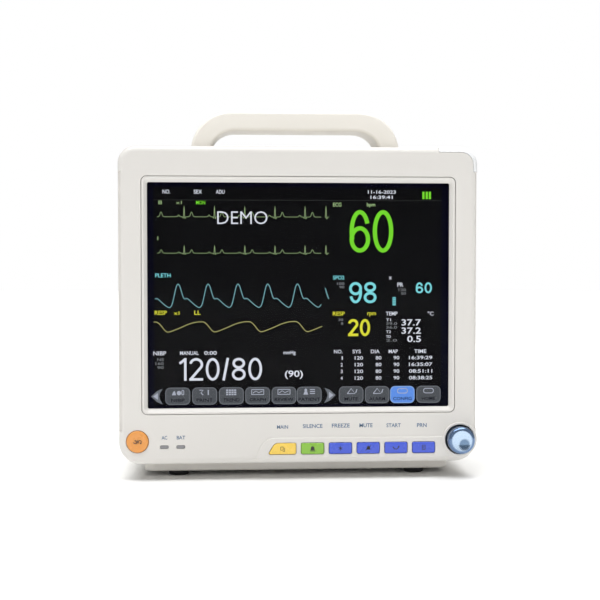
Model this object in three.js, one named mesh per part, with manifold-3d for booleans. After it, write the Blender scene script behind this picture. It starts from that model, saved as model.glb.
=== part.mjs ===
// Multi-parameter patient monitor: a flat screen in a rounded bezel, with keys, a rotary
// knob and an alarm lamp, on a deep rear housing with a carry handle, a patient socket
// panel, a strip recorder and a battery bay.
// Millimetres. +X is the viewer's right, the screen faces -Y and +Z is up. The origin is
// on the table, under the middle of the monitor.

import * as THREE from 'three';
import { mergeVertices } from 'three/addons/utils/BufferGeometryUtils.js';
import Module from 'manifold-3d';

const wasm = await Module();
wasm.setup();

// ---------------------------------------------------------------- driving dimensions

const HALF_DEPTH = 76; // the knob's tip in front and the housing behind
const FACE_Y = -64; // flat front face of the bezel
const WALL = 3;
const GAP = 0.3; // between neighbouring pieces that rest on each other

const BEZEL = { halfWidth: 154, bottom: 14, top: 285, depth: 27, lowRadius: 19, topRadius: 15, edge: 6 };
const BEZEL_BACK = FACE_Y + BEZEL.depth;
const SIDE_STEP = { width: 2.7, depth: 8, bottom: 42, top: 263.6 };

const WINDOW = { halfWidth: 134.4, bottom: 56.7, top: 259.4, radius: 5 };
const APERTURE = { halfWidth: 129.3, bottom: 61.7, top: 254.1, radius: 1.5 };
const LIP_DEPTH = 3; // the display frame slopes in this far to the glass
const POCKET = { halfWidth: 133.6, bottom: 57.4, top: 258.4, radius: 2 };
const FLANGE = { halfWidth: 139, bottom: 52.4, top: 263.7, radius: 4 };
const GLASS_FRONT = FACE_Y + 4.3;
const GLASS_THICKNESS = 2;
const PANEL_THICKNESS = 10;

const LENS = { left: 120, bottom: 264, thickness: 4.2 };

const KEY = { width: 19.5, height: 9.4, pitch: 24, centreZ: 26.9, travel: 1, radius: 1.4 };
const KEY_RIGHTMOST = 107;
const KEY_NAMES = ['print', 'start', 'mute', 'freeze', 'silence'];
const MAIN_KEY_EXTRA = 3.7; // the first key reaches this much further left, with a slanted end
const KEY_FRONT = FACE_Y - 2.1;
const KEY_BACK = -59.3;
const STRIP = { left: -33, top: 36.3, bottom: 18.2, height: 1.2 };

const KNOB = { x: 138.5, z: 33.5, radius: 11.8, hole: 13, ring: 15, travel: 0.8 };
const KNOB_RING_HEIGHT = 2.2;
const SHAFT_RADIUS = 3;

const POWER = { x: -138, z: 34, radius: 9.3, hole: 9.8, travel: 1.2 };
const INDICATOR = { width: 7.1, height: 2.7, z: 29.2 };
const INDICATOR_X = { ac: -115.3, battery: -101.4 };

const HOUSING = { halfWidth: 153.5, bottom: 14.5, top: 284.5, lowRadius: 19, topRadius: 15 };
const HOUSING_FRONT = BEZEL_BACK + GAP;
const BACK_TAPER = { inset: 11, length: 36 };
const PLINTH = { halfWidth: 134, bottom: 4, front: HOUSING_FRONT, back: 62, radius: 10 };
const SCREW_POST = { x: 145.2, low: 62, high: 246, radius: 5.5, bore: 3.4 };
const SCREW_SEAT = -33;

const HANDLE = { halfWidth: 93, thickness: 17, top: 320, foot: 268, front: -14, back: 28 };
const HANDLE_RADIUS = 36;
const HANDLE_EDGE = 3;
const FINGER_RECESS = { halfWidth: 70, front: -24, back: 36, floor: 266 };

const FOOT = { x: 104, frontY: -28, backY: 48, radius: 9, height: 4 };

const SIDE_OPENING = { front: -26, back: 22 }; // both side bays, along Y
const SOCKET_WINDOW = { bottom: 80, top: 228 };
const RECORDER_WINDOW = { bottom: 142, top: 232 };
const BATTERY_WINDOW = { bottom: 76, top: 132 };
const DOOR = { inner: 150.6, outer: 153.4, gap: 0.4, knuckle: 1.4, pin: 0.8, bore: 0.9 };
const ROLL = { x: 129, z: 162, radius: 18, bore: 6.1 };
const PLATEN = { x: 143.6, z: 219, radius: 5, axle: 2 };

const REAR_SOCKET_Z = 52;
const FAN = { x: 62, z: 214, half: 30, bore: 28, front: 57.7 };
const SPEAKER = { x: -76, z: 214, radius: 24 };
const MOUNT_RECESS = { half: 60, z: 138, depth: 1.5, holeSpacing: 100 };

// ---------------------------------------------------------------- solids and shapes

// A closed three.js geometry as a solid that can be joined and cut.
function toSolid(geometry) {
  const bare = geometry.clone();
  bare.deleteAttribute('normal');
  bare.deleteAttribute('uv');
  const welded = mergeVertices(bare, 1e-3);
  const position = welded.attributes.position;
  const index = welded.index.array;
  const triangles = [];
  let volume = 0;
  const [a, b, c] = [new THREE.Vector3(), new THREE.Vector3(), new THREE.Vector3()];
  for (let i = 0; i < index.length; i += 3) {
    const [p, q, r] = [index[i], index[i + 1], index[i + 2]];
    if (p === q || q === r || r === p) continue; // a pole's flat triangles
    triangles.push([p, q, r]);
    a.fromBufferAttribute(position, p);
    b.fromBufferAttribute(position, q);
    c.fromBufferAttribute(position, r);
    volume += a.dot(b.cross(c));
  }
  const outward = volume > 0 ? triangles : triangles.map(([p, q, r]) => [p, r, q]);
  return new wasm.Manifold(new wasm.Mesh({
    numProp: 3,
    vertProperties: new Float32Array(position.array),
    triVerts: new Uint32Array(outward.flat()),
  }));
}

function toGeometry(solid) {
  const mesh = solid.getMesh();
  const geometry = new THREE.BufferGeometry();
  geometry.setAttribute('position', new THREE.BufferAttribute(new Float32Array(mesh.vertProperties), 3));
  geometry.setIndex(new THREE.BufferAttribute(new Uint32Array(mesh.triVerts), 1));
  geometry.computeVertexNormals();
  return geometry;
}

const join = (...solids) => solids.reduce((whole, next) => whole.add(next));
const cut = (solid, ...tools) => tools.reduce((left, tool) => left.subtract(tool), solid);

function box(x0, x1, y0, y1, z0, z1) {
  const geometry = new THREE.BoxGeometry(x1 - x0, y1 - y0, z1 - z0);
  geometry.translate((x0 + x1) / 2, (y0 + y1) / 2, (z0 + z1) / 2);
  return toSolid(geometry);
}

// Where a shape's own x, y and depth go for a sweep along each axis.
const SWEEPS = {
  x: new THREE.Matrix4().makeBasis(
    new THREE.Vector3(0, 1, 0), new THREE.Vector3(0, 0, 1), new THREE.Vector3(1, 0, 0)),
  y: new THREE.Matrix4().makeBasis(
    new THREE.Vector3(1, 0, 0), new THREE.Vector3(0, 0, 1), new THREE.Vector3(0, -1, 0)),
  z: new THREE.Matrix4(),
};

// An outline swept from low to high along an axis. The outline lies in YZ for x, in XZ
// for y and in XY for z. An edge rounds both rims inwards: size across, run along.
function sweep(shape, axis, low, high, { edge = 0, run = edge, steps = 2, curve = 3 } = {}) {
  const geometry = new THREE.ExtrudeGeometry(shape, {
    depth: high - low - 2 * run,
    bevelEnabled: edge > 0,
    bevelSize: edge,
    bevelOffset: -edge,
    bevelThickness: run,
    bevelSegments: steps,
    curveSegments: curve,
  });
  geometry.translate(0, 0, axis === 'y' ? run - high : low + run);
  geometry.applyMatrix4(SWEEPS[axis]);
  return toSolid(geometry);
}

// A rectangle with round corners, each lower or upper pair with its own radius.
function roundedRect(left, right, bottom, top, lowRadius, topRadius = lowRadius) {
  const shape = new THREE.Shape();
  shape.absarc(left + lowRadius, bottom + lowRadius, lowRadius, Math.PI, 1.5 * Math.PI);
  shape.absarc(right - lowRadius, bottom + lowRadius, lowRadius, 1.5 * Math.PI, 2 * Math.PI);
  shape.absarc(right - topRadius, top - topRadius, topRadius, 0, 0.5 * Math.PI);
  shape.absarc(left + topRadius, top - topRadius, topRadius, 0.5 * Math.PI, Math.PI);
  shape.closePath();
  return shape;
}

// A frame-like size block, grown outwards by a margin.
function outline({ halfWidth, bottom, top, radius, lowRadius = radius, topRadius = radius }, grow = 0) {
  return roundedRect(-halfWidth - grow, halfWidth + grow, bottom - grow, top + grow,
    Math.max(lowRadius + grow, 0.4), Math.max(topRadius + grow, 0.4));
}

// A round bar along an axis, through the two other coordinates in X, Y, Z order.
function rod(axis, at, radius, low, high, sides = 24, farRadius = radius) {
  const geometry = new THREE.CylinderGeometry(farRadius, radius, high - low, sides);
  geometry.translate(0, (low + high) / 2, 0);
  if (axis === 'x') {
    geometry.rotateZ(-Math.PI / 2);
    geometry.translate(0, at[0], at[1]);
  } else if (axis === 'z') {
    geometry.rotateX(Math.PI / 2);
    geometry.translate(at[0], at[1], 0);
  } else {
    geometry.translate(at[0], 0, at[1]);
  }
  return toSolid(geometry);
}

// A turned shape round an axis. The profile is [radius, place along the axis] pairs and
// starts and ends on the axis, or closes on itself.
function turned(axis, at, profile, sides = 32) {
  const points = profile.map(([radius, along]) => new THREE.Vector2(radius, along));
  const geometry = new THREE.LatheGeometry(points, sides);
  if (axis === 'x') {
    geometry.rotateZ(-Math.PI / 2);
    geometry.translate(0, at[0], at[1]);
  } else if (axis === 'z') {
    geometry.rotateX(Math.PI / 2);
    geometry.translate(at[0], at[1], 0);
  } else {
    geometry.translate(at[0], 0, at[1]);
  }
  return toSolid(geometry);
}

// ---------------------------------------------------------------- materials and the group

const LOOKS = {
  casing: { color: 0xe6e2da, roughness: 0.42, metalness: 0 },
  handle: { color: 0xf1eee6, roughness: 0.45, metalness: 0 },
  glass: { color: 0x0b0c14, roughness: 0.06, metalness: 0 },
  panel: { color: 0x141418, roughness: 0.35, metalness: 0.2 },
  steel: { color: 0xb8bbbf, roughness: 0.38, metalness: 0.9 },
  lens: { color: 0xf4f6f6, roughness: 0.25, metalness: 0 },
  board: { color: 0x1f6b3a, roughness: 0.5, metalness: 0 },
  orange: { color: 0xf0963c, roughness: 0.35, metalness: 0 },
  yellow: { color: 0xf2c84b, roughness: 0.35, metalness: 0 },
  green: { color: 0x6fbf3c, roughness: 0.35, metalness: 0 },
  blue: { color: 0x3558d0, roughness: 0.35, metalness: 0 },
  grey: { color: 0x8e9092, roughness: 0.4, metalness: 0 },
  knob: { color: 0x9db8d2, roughness: 0.15, metalness: 0.6 },
  rubber: { color: 0x151515, roughness: 0.85, metalness: 0 },
  black: { color: 0x202124, roughness: 0.45, metalness: 0 },
  paper: { color: 0xf7f5ee, roughness: 0.8, metalness: 0 },
  brass: { color: 0xc8a24a, roughness: 0.3, metalness: 1 },
};

const monitor = new THREE.Group();

function addPiece(name, solid, look) {
  const mesh = new THREE.Mesh(toGeometry(solid), new THREE.MeshStandardMaterial(LOOKS[look]));
  mesh.name = name;
  monitor.add(mesh);
}

// ---------------------------------------------------------------- front bezel

const keyCentres = KEY_NAMES.map((name, i) => ({ name, x: KEY_RIGHTMOST - i * KEY.pitch }));
const mainKeyX = KEY_RIGHTMOST - KEY_NAMES.length * KEY.pitch;

function keyShape(x, grow) {
  return roundedRect(x - KEY.width / 2 - grow, x + KEY.width / 2 + grow,
    KEY.centreZ - KEY.height / 2 - grow, KEY.centreZ + KEY.height / 2 + grow, KEY.radius + grow);
}

// The first key: a plain right end and a slanted left end with a full upper round.
function mainKeyShape(grow) {
  const [low, high] = [KEY.centreZ - KEY.height / 2 - grow, KEY.centreZ + KEY.height / 2 + grow];
  const right = mainKeyX + KEY.width / 2 + grow;
  const left = mainKeyX - KEY.width / 2 - MAIN_KEY_EXTRA - grow;
  const shape = new THREE.Shape();
  shape.moveTo(left, low + 1);
  shape.lineTo(left + 1, low);
  shape.lineTo(right - KEY.radius, low);
  shape.absarc(right - KEY.radius, low + KEY.radius, KEY.radius, 1.5 * Math.PI, 2 * Math.PI);
  shape.absarc(right - KEY.radius, high - KEY.radius, KEY.radius, 0, 0.5 * Math.PI);
  shape.lineTo(left + 8.4, high);
  shape.quadraticCurveTo(left + 5.4, high, left + 3.6, high - 2.7);
  shape.closePath();
  return shape;
}

const bezelBody = sweep(outline(BEZEL), 'y', FACE_Y, BEZEL_BACK + BEZEL.edge,
  { edge: BEZEL.edge, steps: 3, curve: 3 });

function lensRegion(inset, gap) {
  const all = box(LENS.left - gap, BEZEL.halfWidth + 5, FACE_Y - 5, BEZEL_BACK + 8,
    LENS.bottom - gap, BEZEL.top + 5);
  return cut(all, sweep(outline(BEZEL, -inset), 'y', FACE_Y - 6, BEZEL_BACK + 9));
}

// The raised strip round the keys, with a slanted left end, that runs into the knob's ring.
function keyStrip() {
  const shape = new THREE.Shape();
  shape.moveTo(STRIP.left - 5, STRIP.bottom);
  shape.lineTo(KNOB.x, STRIP.bottom);
  shape.lineTo(KNOB.x, STRIP.top);
  shape.lineTo(STRIP.left + 12, STRIP.top);
  shape.quadraticCurveTo(STRIP.left + 3, STRIP.top, STRIP.left - 1, STRIP.top - 8.5);
  shape.closePath();
  return sweep(shape, 'y', FACE_Y - STRIP.height, FACE_Y + 1, { edge: 0.8, steps: 1 });
}

function bezel() {
  const hollow = sweep(outline(BEZEL, -WALL), 'y', FACE_Y + WALL, BEZEL_BACK + 9);
  let body = cut(bezelBody, box(-200, 200, BEZEL_BACK, 0, 0, 300));
  body = join(body, keyStrip(),
    rod('y', [KNOB.x, KNOB.z], KNOB.ring, FACE_Y - KNOB_RING_HEIGHT, FACE_Y + 4, 28));
  const knobWell = rod('y', [KNOB.x, KNOB.z], KNOB.hole + 1.8, FACE_Y, -57.4, 20);
  body = join(cut(body, hollow), sweep(outline(BEZEL, -1), 'y', -63, -57.4).intersect(knobWell));
  for (const side of [-1, 1]) {
    for (const z of [SCREW_POST.low, SCREW_POST.high]) {
      const at = [side * SCREW_POST.x, z];
      body = join(body, rod('y', at, 4.5, FACE_Y + 1.5, BEZEL_BACK, 10));
      body = cut(body, rod('y', at, 1.7, -49, BEZEL_BACK + 1, 8));
    }
    const edgeX = side * (BEZEL.halfWidth - SIDE_STEP.width);
    body = cut(body, box(Math.min(edgeX, side * 160), Math.max(edgeX, side * 160),
      FACE_Y - 1, FACE_Y + SIDE_STEP.depth, SIDE_STEP.bottom, SIDE_STEP.top));
  }
  for (const { x } of keyCentres) {
    body = cut(body, sweep(keyShape(x, 0.5), 'y', FACE_Y - 4, FACE_Y + 4, { curve: 1 }));
  }
  for (const x of Object.values(INDICATOR_X)) {
    body = cut(body, sweep(indicatorShape(x, 0.2), 'y', FACE_Y - 4, FACE_Y + 4, { curve: 1 }));
  }
  return cut(body,
    sweep(mainKeyShape(0.5), 'y', FACE_Y - 4, FACE_Y + 4, { curve: 1 }),
    sweep(outline(WINDOW), 'y', FACE_Y - 4, FACE_Y + 4, { curve: 2 }),
    rod('y', [POWER.x, POWER.z], POWER.hole, FACE_Y - 4, FACE_Y + 4, 24),
    rod('y', [KNOB.x, KNOB.z], KNOB.hole, FACE_Y - 4, -59.4, 24),
    rod('y', [KNOB.x, KNOB.z], 4.8, FACE_Y - 4, -50, 12),
    lensRegion(LENS.thickness + GAP, GAP));
}

function indicatorShape(x, grow) {
  return roundedRect(x - INDICATOR.width / 2 - grow, x + INDICATOR.width / 2 + grow,
    INDICATOR.z - INDICATOR.height / 2 - grow, INDICATOR.z + INDICATOR.height / 2 + grow, 1.2);
}

function alarmLens() {
  const ends = box(LENS.left, 200, FACE_Y, BEZEL_BACK, LENS.bottom, 300);
  return bezelBody.intersect(lensRegion(LENS.thickness, 0)).intersect(ends);
}

// Board under the lens, with three lamps that shine up into it.
function alarmBoard() {
  let board = box(100, 143, -58, -40, 274, 275.6);
  for (const x of [116, 127, 138]) {
    board = join(board, rod('z', [x, -49], 2.2, 275.4, 279, 8));
  }
  return board;
}

addPiece('front_bezel', bezel(), 'casing');
addPiece('alarm_lens', alarmLens(), 'lens');
addPiece('alarm_light_board', alarmBoard(), 'board');

// ---------------------------------------------------------------- display

function displayFrame() {
  const front = sweep(outline(WINDOW, -GAP), 'y', FACE_Y, FACE_Y + 4, { curve: 2 });
  const flange = sweep(outline(FLANGE), 'y', FACE_Y + WALL + GAP, -46, { curve: 1 });
  const slope = sweep(outline(APERTURE, 3), 'y', FACE_Y - LIP_DEPTH - 2, FACE_Y + LIP_DEPTH,
    { edge: 3, run: LIP_DEPTH, steps: 1, curve: 2 });
  return cut(join(front, flange), slope,
    sweep(outline(APERTURE), 'y', FACE_Y, FACE_Y + 6, { curve: 2 }),
    sweep(outline(POCKET), 'y', FACE_Y + 4, 0, { curve: 1 }));
}

// Sheet-steel carrier behind the panel, with a window grid and stand-offs for the main board.
function panelBracket() {
  const [front, back] = [-45.7, -44.2];
  let plate = sweep(outline(FLANGE), 'y', front, back, { curve: 1 });
  for (const x of [-88, 0, 88]) {
    for (const z of [108, 208]) {
      plate = cut(plate, sweep(roundedRect(x - 34, x + 34, z - 38, z + 38, 5), 'y', front - 1, back + 1,
        { curve: 1 }));
    }
  }
  for (const x of [-98, 52]) {
    for (const z of [64, 252]) plate = join(plate, rod('y', [x, z], 2.6, back - 0.5, -40.3, 8));
  }
  return plate;
}

const glassBack = GLASS_FRONT + GLASS_THICKNESS;
addPiece('display_frame', displayFrame(), 'casing');
addPiece('screen_cover', sweep(outline(POCKET, -GAP), 'y', GLASS_FRONT, glassBack, { curve: 1 }), 'glass');
addPiece('lcd_panel', sweep(outline(POCKET, -0.6), 'y', glassBack + GAP, glassBack + GAP + PANEL_THICKNESS,
  { curve: 1 }), 'panel');
addPiece('lcd_bracket', panelBracket(), 'steel');

// ---------------------------------------------------------------- keys and power button

// A push key: a domed cap through the bezel and a wider flange behind that keeps it in.
function pushKey(shapeOf) {
  const cap = sweep(shapeOf(0), 'y', KEY_FRONT, KEY_BACK + 0.8, { edge: 0.8, steps: 1, curve: 1 });
  const flange = sweep(shapeOf(1.2), 'y', FACE_Y + WALL + 0.4, KEY_BACK, { curve: 1 });
  return join(cut(cap, box(-200, 200, KEY_BACK, 0, 0, 60)), flange);
}

const KEY_LOOKS = { silence: 'green' };
for (const { name, x } of keyCentres) {
  addPiece(`key_${name}`, pushKey((grow) => keyShape(x, grow)), KEY_LOOKS[name] ?? 'blue');
}
addPiece('key_main', pushKey(mainKeyShape), 'yellow');

// A small push switch that stands on a board and ends just short of the key above it.
function tactSwitch(x, z, boardFront, tip) {
  return join(box(x - 3, x + 3, boardFront - 2.2, boardFront + 0.2, z - 3, z + 3),
    rod('y', [x, z], 1.7, tip, boardFront - 1.8, 8));
}

function keyBoard() {
  let board = box(-32, 122.5, -55, -53.4, 17.6, 36.4);
  for (const x of [mainKeyX, ...keyCentres.map((key) => key.x)]) {
    board = join(board, tactSwitch(x, KEY.centreZ, -55, KEY_BACK + KEY.travel + 0.3));
  }
  return board;
}

function powerBoard() {
  let board = join(box(-145, -92, -55, -53.4, 23, 46), tactSwitch(POWER.x, POWER.z, -55, -57.7));
  for (const x of Object.values(INDICATOR_X)) {
    board = join(board, rod('y', [x, INDICATOR.z], 1.3, -60.1, -54.8, 8));
  }
  return board;
}

function powerButton() {
  const back = -59.4;
  return turned('y', [POWER.x, POWER.z], [
    [0, FACE_Y - 1.2], [7.4, FACE_Y - 1.6], [8.6, FACE_Y - 1.4], [POWER.radius, FACE_Y - 0.6],
    [POWER.radius, FACE_Y + WALL + 0.4], [11, FACE_Y + WALL + 0.4], [11, back], [0, back],
  ], 20);
}

addPiece('key_board', keyBoard(), 'board');
addPiece('power_button', powerButton(), 'orange');
addPiece('power_button_board', powerBoard(), 'board');
for (const [name, x] of Object.entries(INDICATOR_X)) {
  addPiece(`${name}_indicator_window`, sweep(indicatorShape(x, 0), 'y', FACE_Y - 0.2, -60.5,
    { curve: 1 }), 'grey');
}

// ---------------------------------------------------------------- rotary knob and encoder

// A hollow knob with a dished end, and a hub inside that takes the shaft.
function controlKnob() {
  const [tip, back] = [-HALF_DEPTH, FACE_Y + 3.4];
  return turned('y', [KNOB.x, KNOB.z], [
    [0, tip + 2.2], [5, tip + 1.4], [7.6, tip], [9.6, tip + 0.4], [KNOB.radius, tip + 3.2],
    [KNOB.radius, back], [9.8, back], [9.8, tip + 6], [5.4, tip + 6], [5.4, back - 1.6],
    [SHAFT_RADIUS + 0.2, back - 1.6], [SHAFT_RADIUS + 0.2, tip + 4.2], [0, tip + 4.2],
  ], 24);
}

// Encoder case: a threaded bush in the bezel's well, a square body and a back plate that
// carries the push switch.
function encoderBody() {
  const { x, z } = KNOB;
  const body = join(rod('y', [x, z], 4.5, -60.9, -56.9, 12), box(x - 7, x + 7, -57.1, -50, z - 7, z + 7),
    box(x - 7, x - 5.8, -50.2, -45.4, z - 7, z + 7), box(x + 5.8, x + 7, -50.2, -45.4, z - 7, z + 7),
    box(x - 7, x + 7, -46.4, -45.4, z - 7, z + 7));
  return cut(body, rod('y', [x, z], SHAFT_RADIUS + 0.25, -62, -49, 16));
}

addPiece('control_knob', controlKnob(), 'knob');
addPiece('encoder_shaft', rod('y', [KNOB.x, KNOB.z], SHAFT_RADIUS, -71.5, -49.4, 16), 'steel');
addPiece('encoder_plunger', rod('y', [KNOB.x, KNOB.z], 4, -49.1, -47.6, 12), 'black');
addPiece('encoder_body', encoderBody(), 'steel');

// ---------------------------------------------------------------- rear housing

function housingEnvelope(shrink) {
  const main = sweep(outline(HOUSING, -shrink), 'y', HOUSING_FRONT - BACK_TAPER.length, HALF_DEPTH - shrink,
    { edge: BACK_TAPER.inset, run: BACK_TAPER.length, steps: 4 - shrink / WALL, curve: 3 });
  const plinth = sweep(roundedRect(-PLINTH.halfWidth + shrink, PLINTH.halfWidth - shrink,
    PLINTH.front + shrink, PLINTH.back - shrink, PLINTH.radius - shrink), 'z',
  PLINTH.bottom + shrink, HOUSING.bottom + 12, { curve: 2 });
  return join(main, plinth);
}

// Rows of narrow slots through the back wall, for the fan's air or the speaker's sound.
function backSlots(centreX, centreZ, count, length) {
  const slots = [];
  for (let i = 0; i < count; i++) {
    const x = centreX + (i - (count - 1) / 2) * 7;
    slots.push(box(x - 1.5, x + 1.5, HALF_DEPTH - 6, HALF_DEPTH + 1,
      centreZ - length / 2, centreZ + length / 2));
  }
  return slots;
}

const handleLeg = (side, grow) => roundedRect(
  side * (HANDLE.halfWidth - HANDLE.thickness / 2) - HANDLE.thickness / 2 - grow,
  side * (HANDLE.halfWidth - HANDLE.thickness / 2) + HANDLE.thickness / 2 + grow,
  HANDLE.front - grow, HANDLE.back + grow, HANDLE_EDGE);

function rearHousing() {
  const scoop = (grow) => sweep(roundedRect(-FINGER_RECESS.halfWidth - grow, FINGER_RECESS.halfWidth + grow,
    FINGER_RECESS.front - grow, FINGER_RECESS.back + grow, 8 + grow), 'z', FINGER_RECESS.floor - grow, 300,
  { curve: 2 });
  const posts = [];
  const wells = [];
  for (const side of [-1, 1]) {
    for (const z of [SCREW_POST.low, SCREW_POST.high]) {
      const at = [side * SCREW_POST.x, z];
      posts.push(rod('y', at, SCREW_POST.radius, HOUSING_FRONT, HALF_DEPTH, 8));
      wells.push(rod('y', at, SCREW_POST.bore, SCREW_SEAT, HALF_DEPTH + 1, 10));
      wells.push(rod('y', at, 1.7, HOUSING_FRONT - 1, SCREW_SEAT + 1, 8));
    }
  }
  const hollow = cut(housingEnvelope(WALL), scoop(WALL), ...posts);
  let body = cut(housingEnvelope(0), box(-200, 200, -200, HOUSING_FRONT, 0, 300), hollow);
  body = cut(body, sweep(outline(HOUSING, -WALL), 'y', HOUSING_FRONT - 1, HOUSING_FRONT + 12)
    .subtract(join(...posts)));
  body = cut(body, scoop(0), ...wells);
  const { front, back } = SIDE_OPENING;
  const bay = (bottom, top) => roundedRect(front, back, bottom, top, 0.6);
  body = cut(body,
    sweep(bay(SOCKET_WINDOW.bottom, SOCKET_WINDOW.top), 'x', -160, -149, { curve: 1 }),
    sweep(bay(RECORDER_WINDOW.bottom, RECORDER_WINDOW.top), 'x', 149, 160, { curve: 1 }),
    sweep(bay(BATTERY_WINDOW.bottom, BATTERY_WINDOW.top), 'x', 149, 160, { curve: 1 }));
  // Hinge pin holes beside the two door openings.
  body = cut(body,
    rod('y', [recorderPivot.x, recorderPivot.z], DOOR.bore, front - 2.7, back + 2.7, 12),
    rod('z', [batteryPivot.x, batteryPivot.y], DOOR.bore, BATTERY_WINDOW.bottom - 2.5,
      BATTERY_WINDOW.top + 2.5, 12));
  for (const side of [-1, 1]) {
    body = cut(body, sweep(handleLeg(side, 0.4), 'z', 262, 300, { curve: 2 }));
    for (const y of [FOOT.frontY, FOOT.backY]) {
      body = cut(body, rod('z', [side * FOOT.x, y], 4.2, 0, 12, 12));
    }
  }
  const { half, z, depth, holeSpacing } = MOUNT_RECESS;
  body = cut(body, sweep(roundedRect(-half, half, z - half, z + half, 6), 'y', HALF_DEPTH - depth,
    HALF_DEPTH + 1, { curve: 1 }));
  for (const x of [-holeSpacing / 2, holeSpacing / 2]) {
    for (const dz of [-holeSpacing / 2, holeSpacing / 2]) {
      body = cut(body, rod('y', [x, z + dz], 2.2, HALF_DEPTH - 6, HALF_DEPTH + 1, 10));
    }
  }
  return cut(body, ...backSlots(FAN.x, FAN.z, 7, 46), ...backSlots(SPEAKER.x, SPEAKER.z, 5, 34),
    ...rearCutouts());
}

// ---------------------------------------------------------------- rear sockets

const REAR = {
  mains: { x: -98, halfWidth: 14.2, halfHeight: 10.4 },
  fuse: { x: -62, radius: 6.6 },
  network: { x: -30, halfWidth: 8, halfHeight: 7 },
  video: { x: 6, halfWidth: 12.4, halfHeight: 5.6 },
  ground: { x: -126, radius: 3.2 },
};

function rearCutouts() {
  return Object.values(REAR).map(({ x, radius, halfWidth, halfHeight }) => (radius
    ? rod('y', [x, REAR_SOCKET_Z], radius + 0.4, 60, HALF_DEPTH + 1, 20)
    : box(x - halfWidth - 0.4, x + halfWidth + 0.4, 60, HALF_DEPTH + 1,
      REAR_SOCKET_Z - halfHeight - 0.4, REAR_SOCKET_Z + halfHeight + 0.4)));
}

const pivotX = (DOOR.inner + DOOR.outer) / 2;
const recorderPivot = { x: pivotX, z: RECORDER_WINDOW.bottom + DOOR.gap + DOOR.knuckle };
const batteryPivot = { x: pivotX, y: SIDE_OPENING.back - DOOR.gap - DOOR.knuckle };

addPiece('rear_housing', rearHousing(), 'casing');

// Appliance inlet: a cavity with three blades, in a body that passes through the wall.
function mainsInlet() {
  const { x, halfWidth, halfHeight } = REAR.mains;
  const z = REAR_SOCKET_Z;
  const outer = sweep(roundedRect(x - halfWidth, x + halfWidth, z - halfHeight, z + halfHeight, 2), 'y',
    48, HALF_DEPTH, { curve: 1 });
  const cavity = sweep(roundedRect(x - 12, x + 12, z - 8, z + 8, 2.5), 'y', HALF_DEPTH - 16, HALF_DEPTH + 1,
    { curve: 1 });
  let body = cut(outer, cavity);
  for (const [dx, dz] of [[-7, -2], [0, 2], [7, -2]]) {
    body = join(body, box(x + dx - 1, x + dx + 1, HALF_DEPTH - 17, HALF_DEPTH - 3, z + dz - 2, z + dz + 2));
  }
  return body;
}

function fuseHolder() {
  const cap = turned('y', [REAR.fuse.x, REAR_SOCKET_Z], [
    [0, 52], [5.6, 52], [5.6, 70], [REAR.fuse.radius, 70], [REAR.fuse.radius, HALF_DEPTH - 0.6],
    [REAR.fuse.radius - 0.8, HALF_DEPTH], [0, HALF_DEPTH],
  ], 16);
  return cut(cap, box(REAR.fuse.x - 4.4, REAR.fuse.x + 4.4, HALF_DEPTH - 1.2, HALF_DEPTH + 1,
    REAR_SOCKET_Z - 0.7, REAR_SOCKET_Z + 0.7));
}

function networkSocket() {
  const { x, halfWidth, halfHeight } = REAR.network;
  const z = REAR_SOCKET_Z;
  return cut(box(x - halfWidth, x + halfWidth, 56, HALF_DEPTH, z - halfHeight, z + halfHeight),
    box(x - 5.9, x + 5.9, 63, HALF_DEPTH + 1, z - 4.4, z + 3.8),
    box(x - 3, x + 3, 63, HALF_DEPTH + 1, z + 3.6, z + 5.4));
}

// D-shaped shell with a pin block that fills all but a narrow channel round its edge.
function videoSocket() {
  const { x, halfWidth, halfHeight } = REAR.video;
  const shape = (inset) => {
    const d = new THREE.Shape();
    d.moveTo(x - halfWidth + 1.6 + inset, REAR_SOCKET_Z - halfHeight + inset);
    d.lineTo(x + halfWidth - 1.6 - inset, REAR_SOCKET_Z - halfHeight + inset);
    d.lineTo(x + halfWidth - inset, REAR_SOCKET_Z + halfHeight - inset);
    d.lineTo(x - halfWidth + inset, REAR_SOCKET_Z + halfHeight - inset);
    d.closePath();
    return d;
  };
  const channel = cut(sweep(shape(0.7), 'y', 70, HALF_DEPTH + 1),
    sweep(shape(1.9), 'y', 69, HALF_DEPTH - 0.6));
  return cut(sweep(shape(0), 'y', 60, HALF_DEPTH), channel);
}

function groundStud() {
  return turned('y', [REAR.ground.x, REAR_SOCKET_Z], [
    [0, 66], [5.6, 66], [5.6, HALF_DEPTH - WALL - GAP], [REAR.ground.radius, HALF_DEPTH - WALL - GAP],
    [REAR.ground.radius, HALF_DEPTH - 0.5], [2.6, HALF_DEPTH], [0, HALF_DEPTH],
  ], 16);
}

addPiece('mains_inlet', mainsInlet(), 'black');
addPiece('fuse_holder', fuseHolder(), 'black');
addPiece('network_socket', networkSocket(), 'steel');
addPiece('video_socket', videoSocket(), 'blue');
addPiece('ground_stud', groundStud(), 'brass');

// ---------------------------------------------------------------- handle and feet

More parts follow.
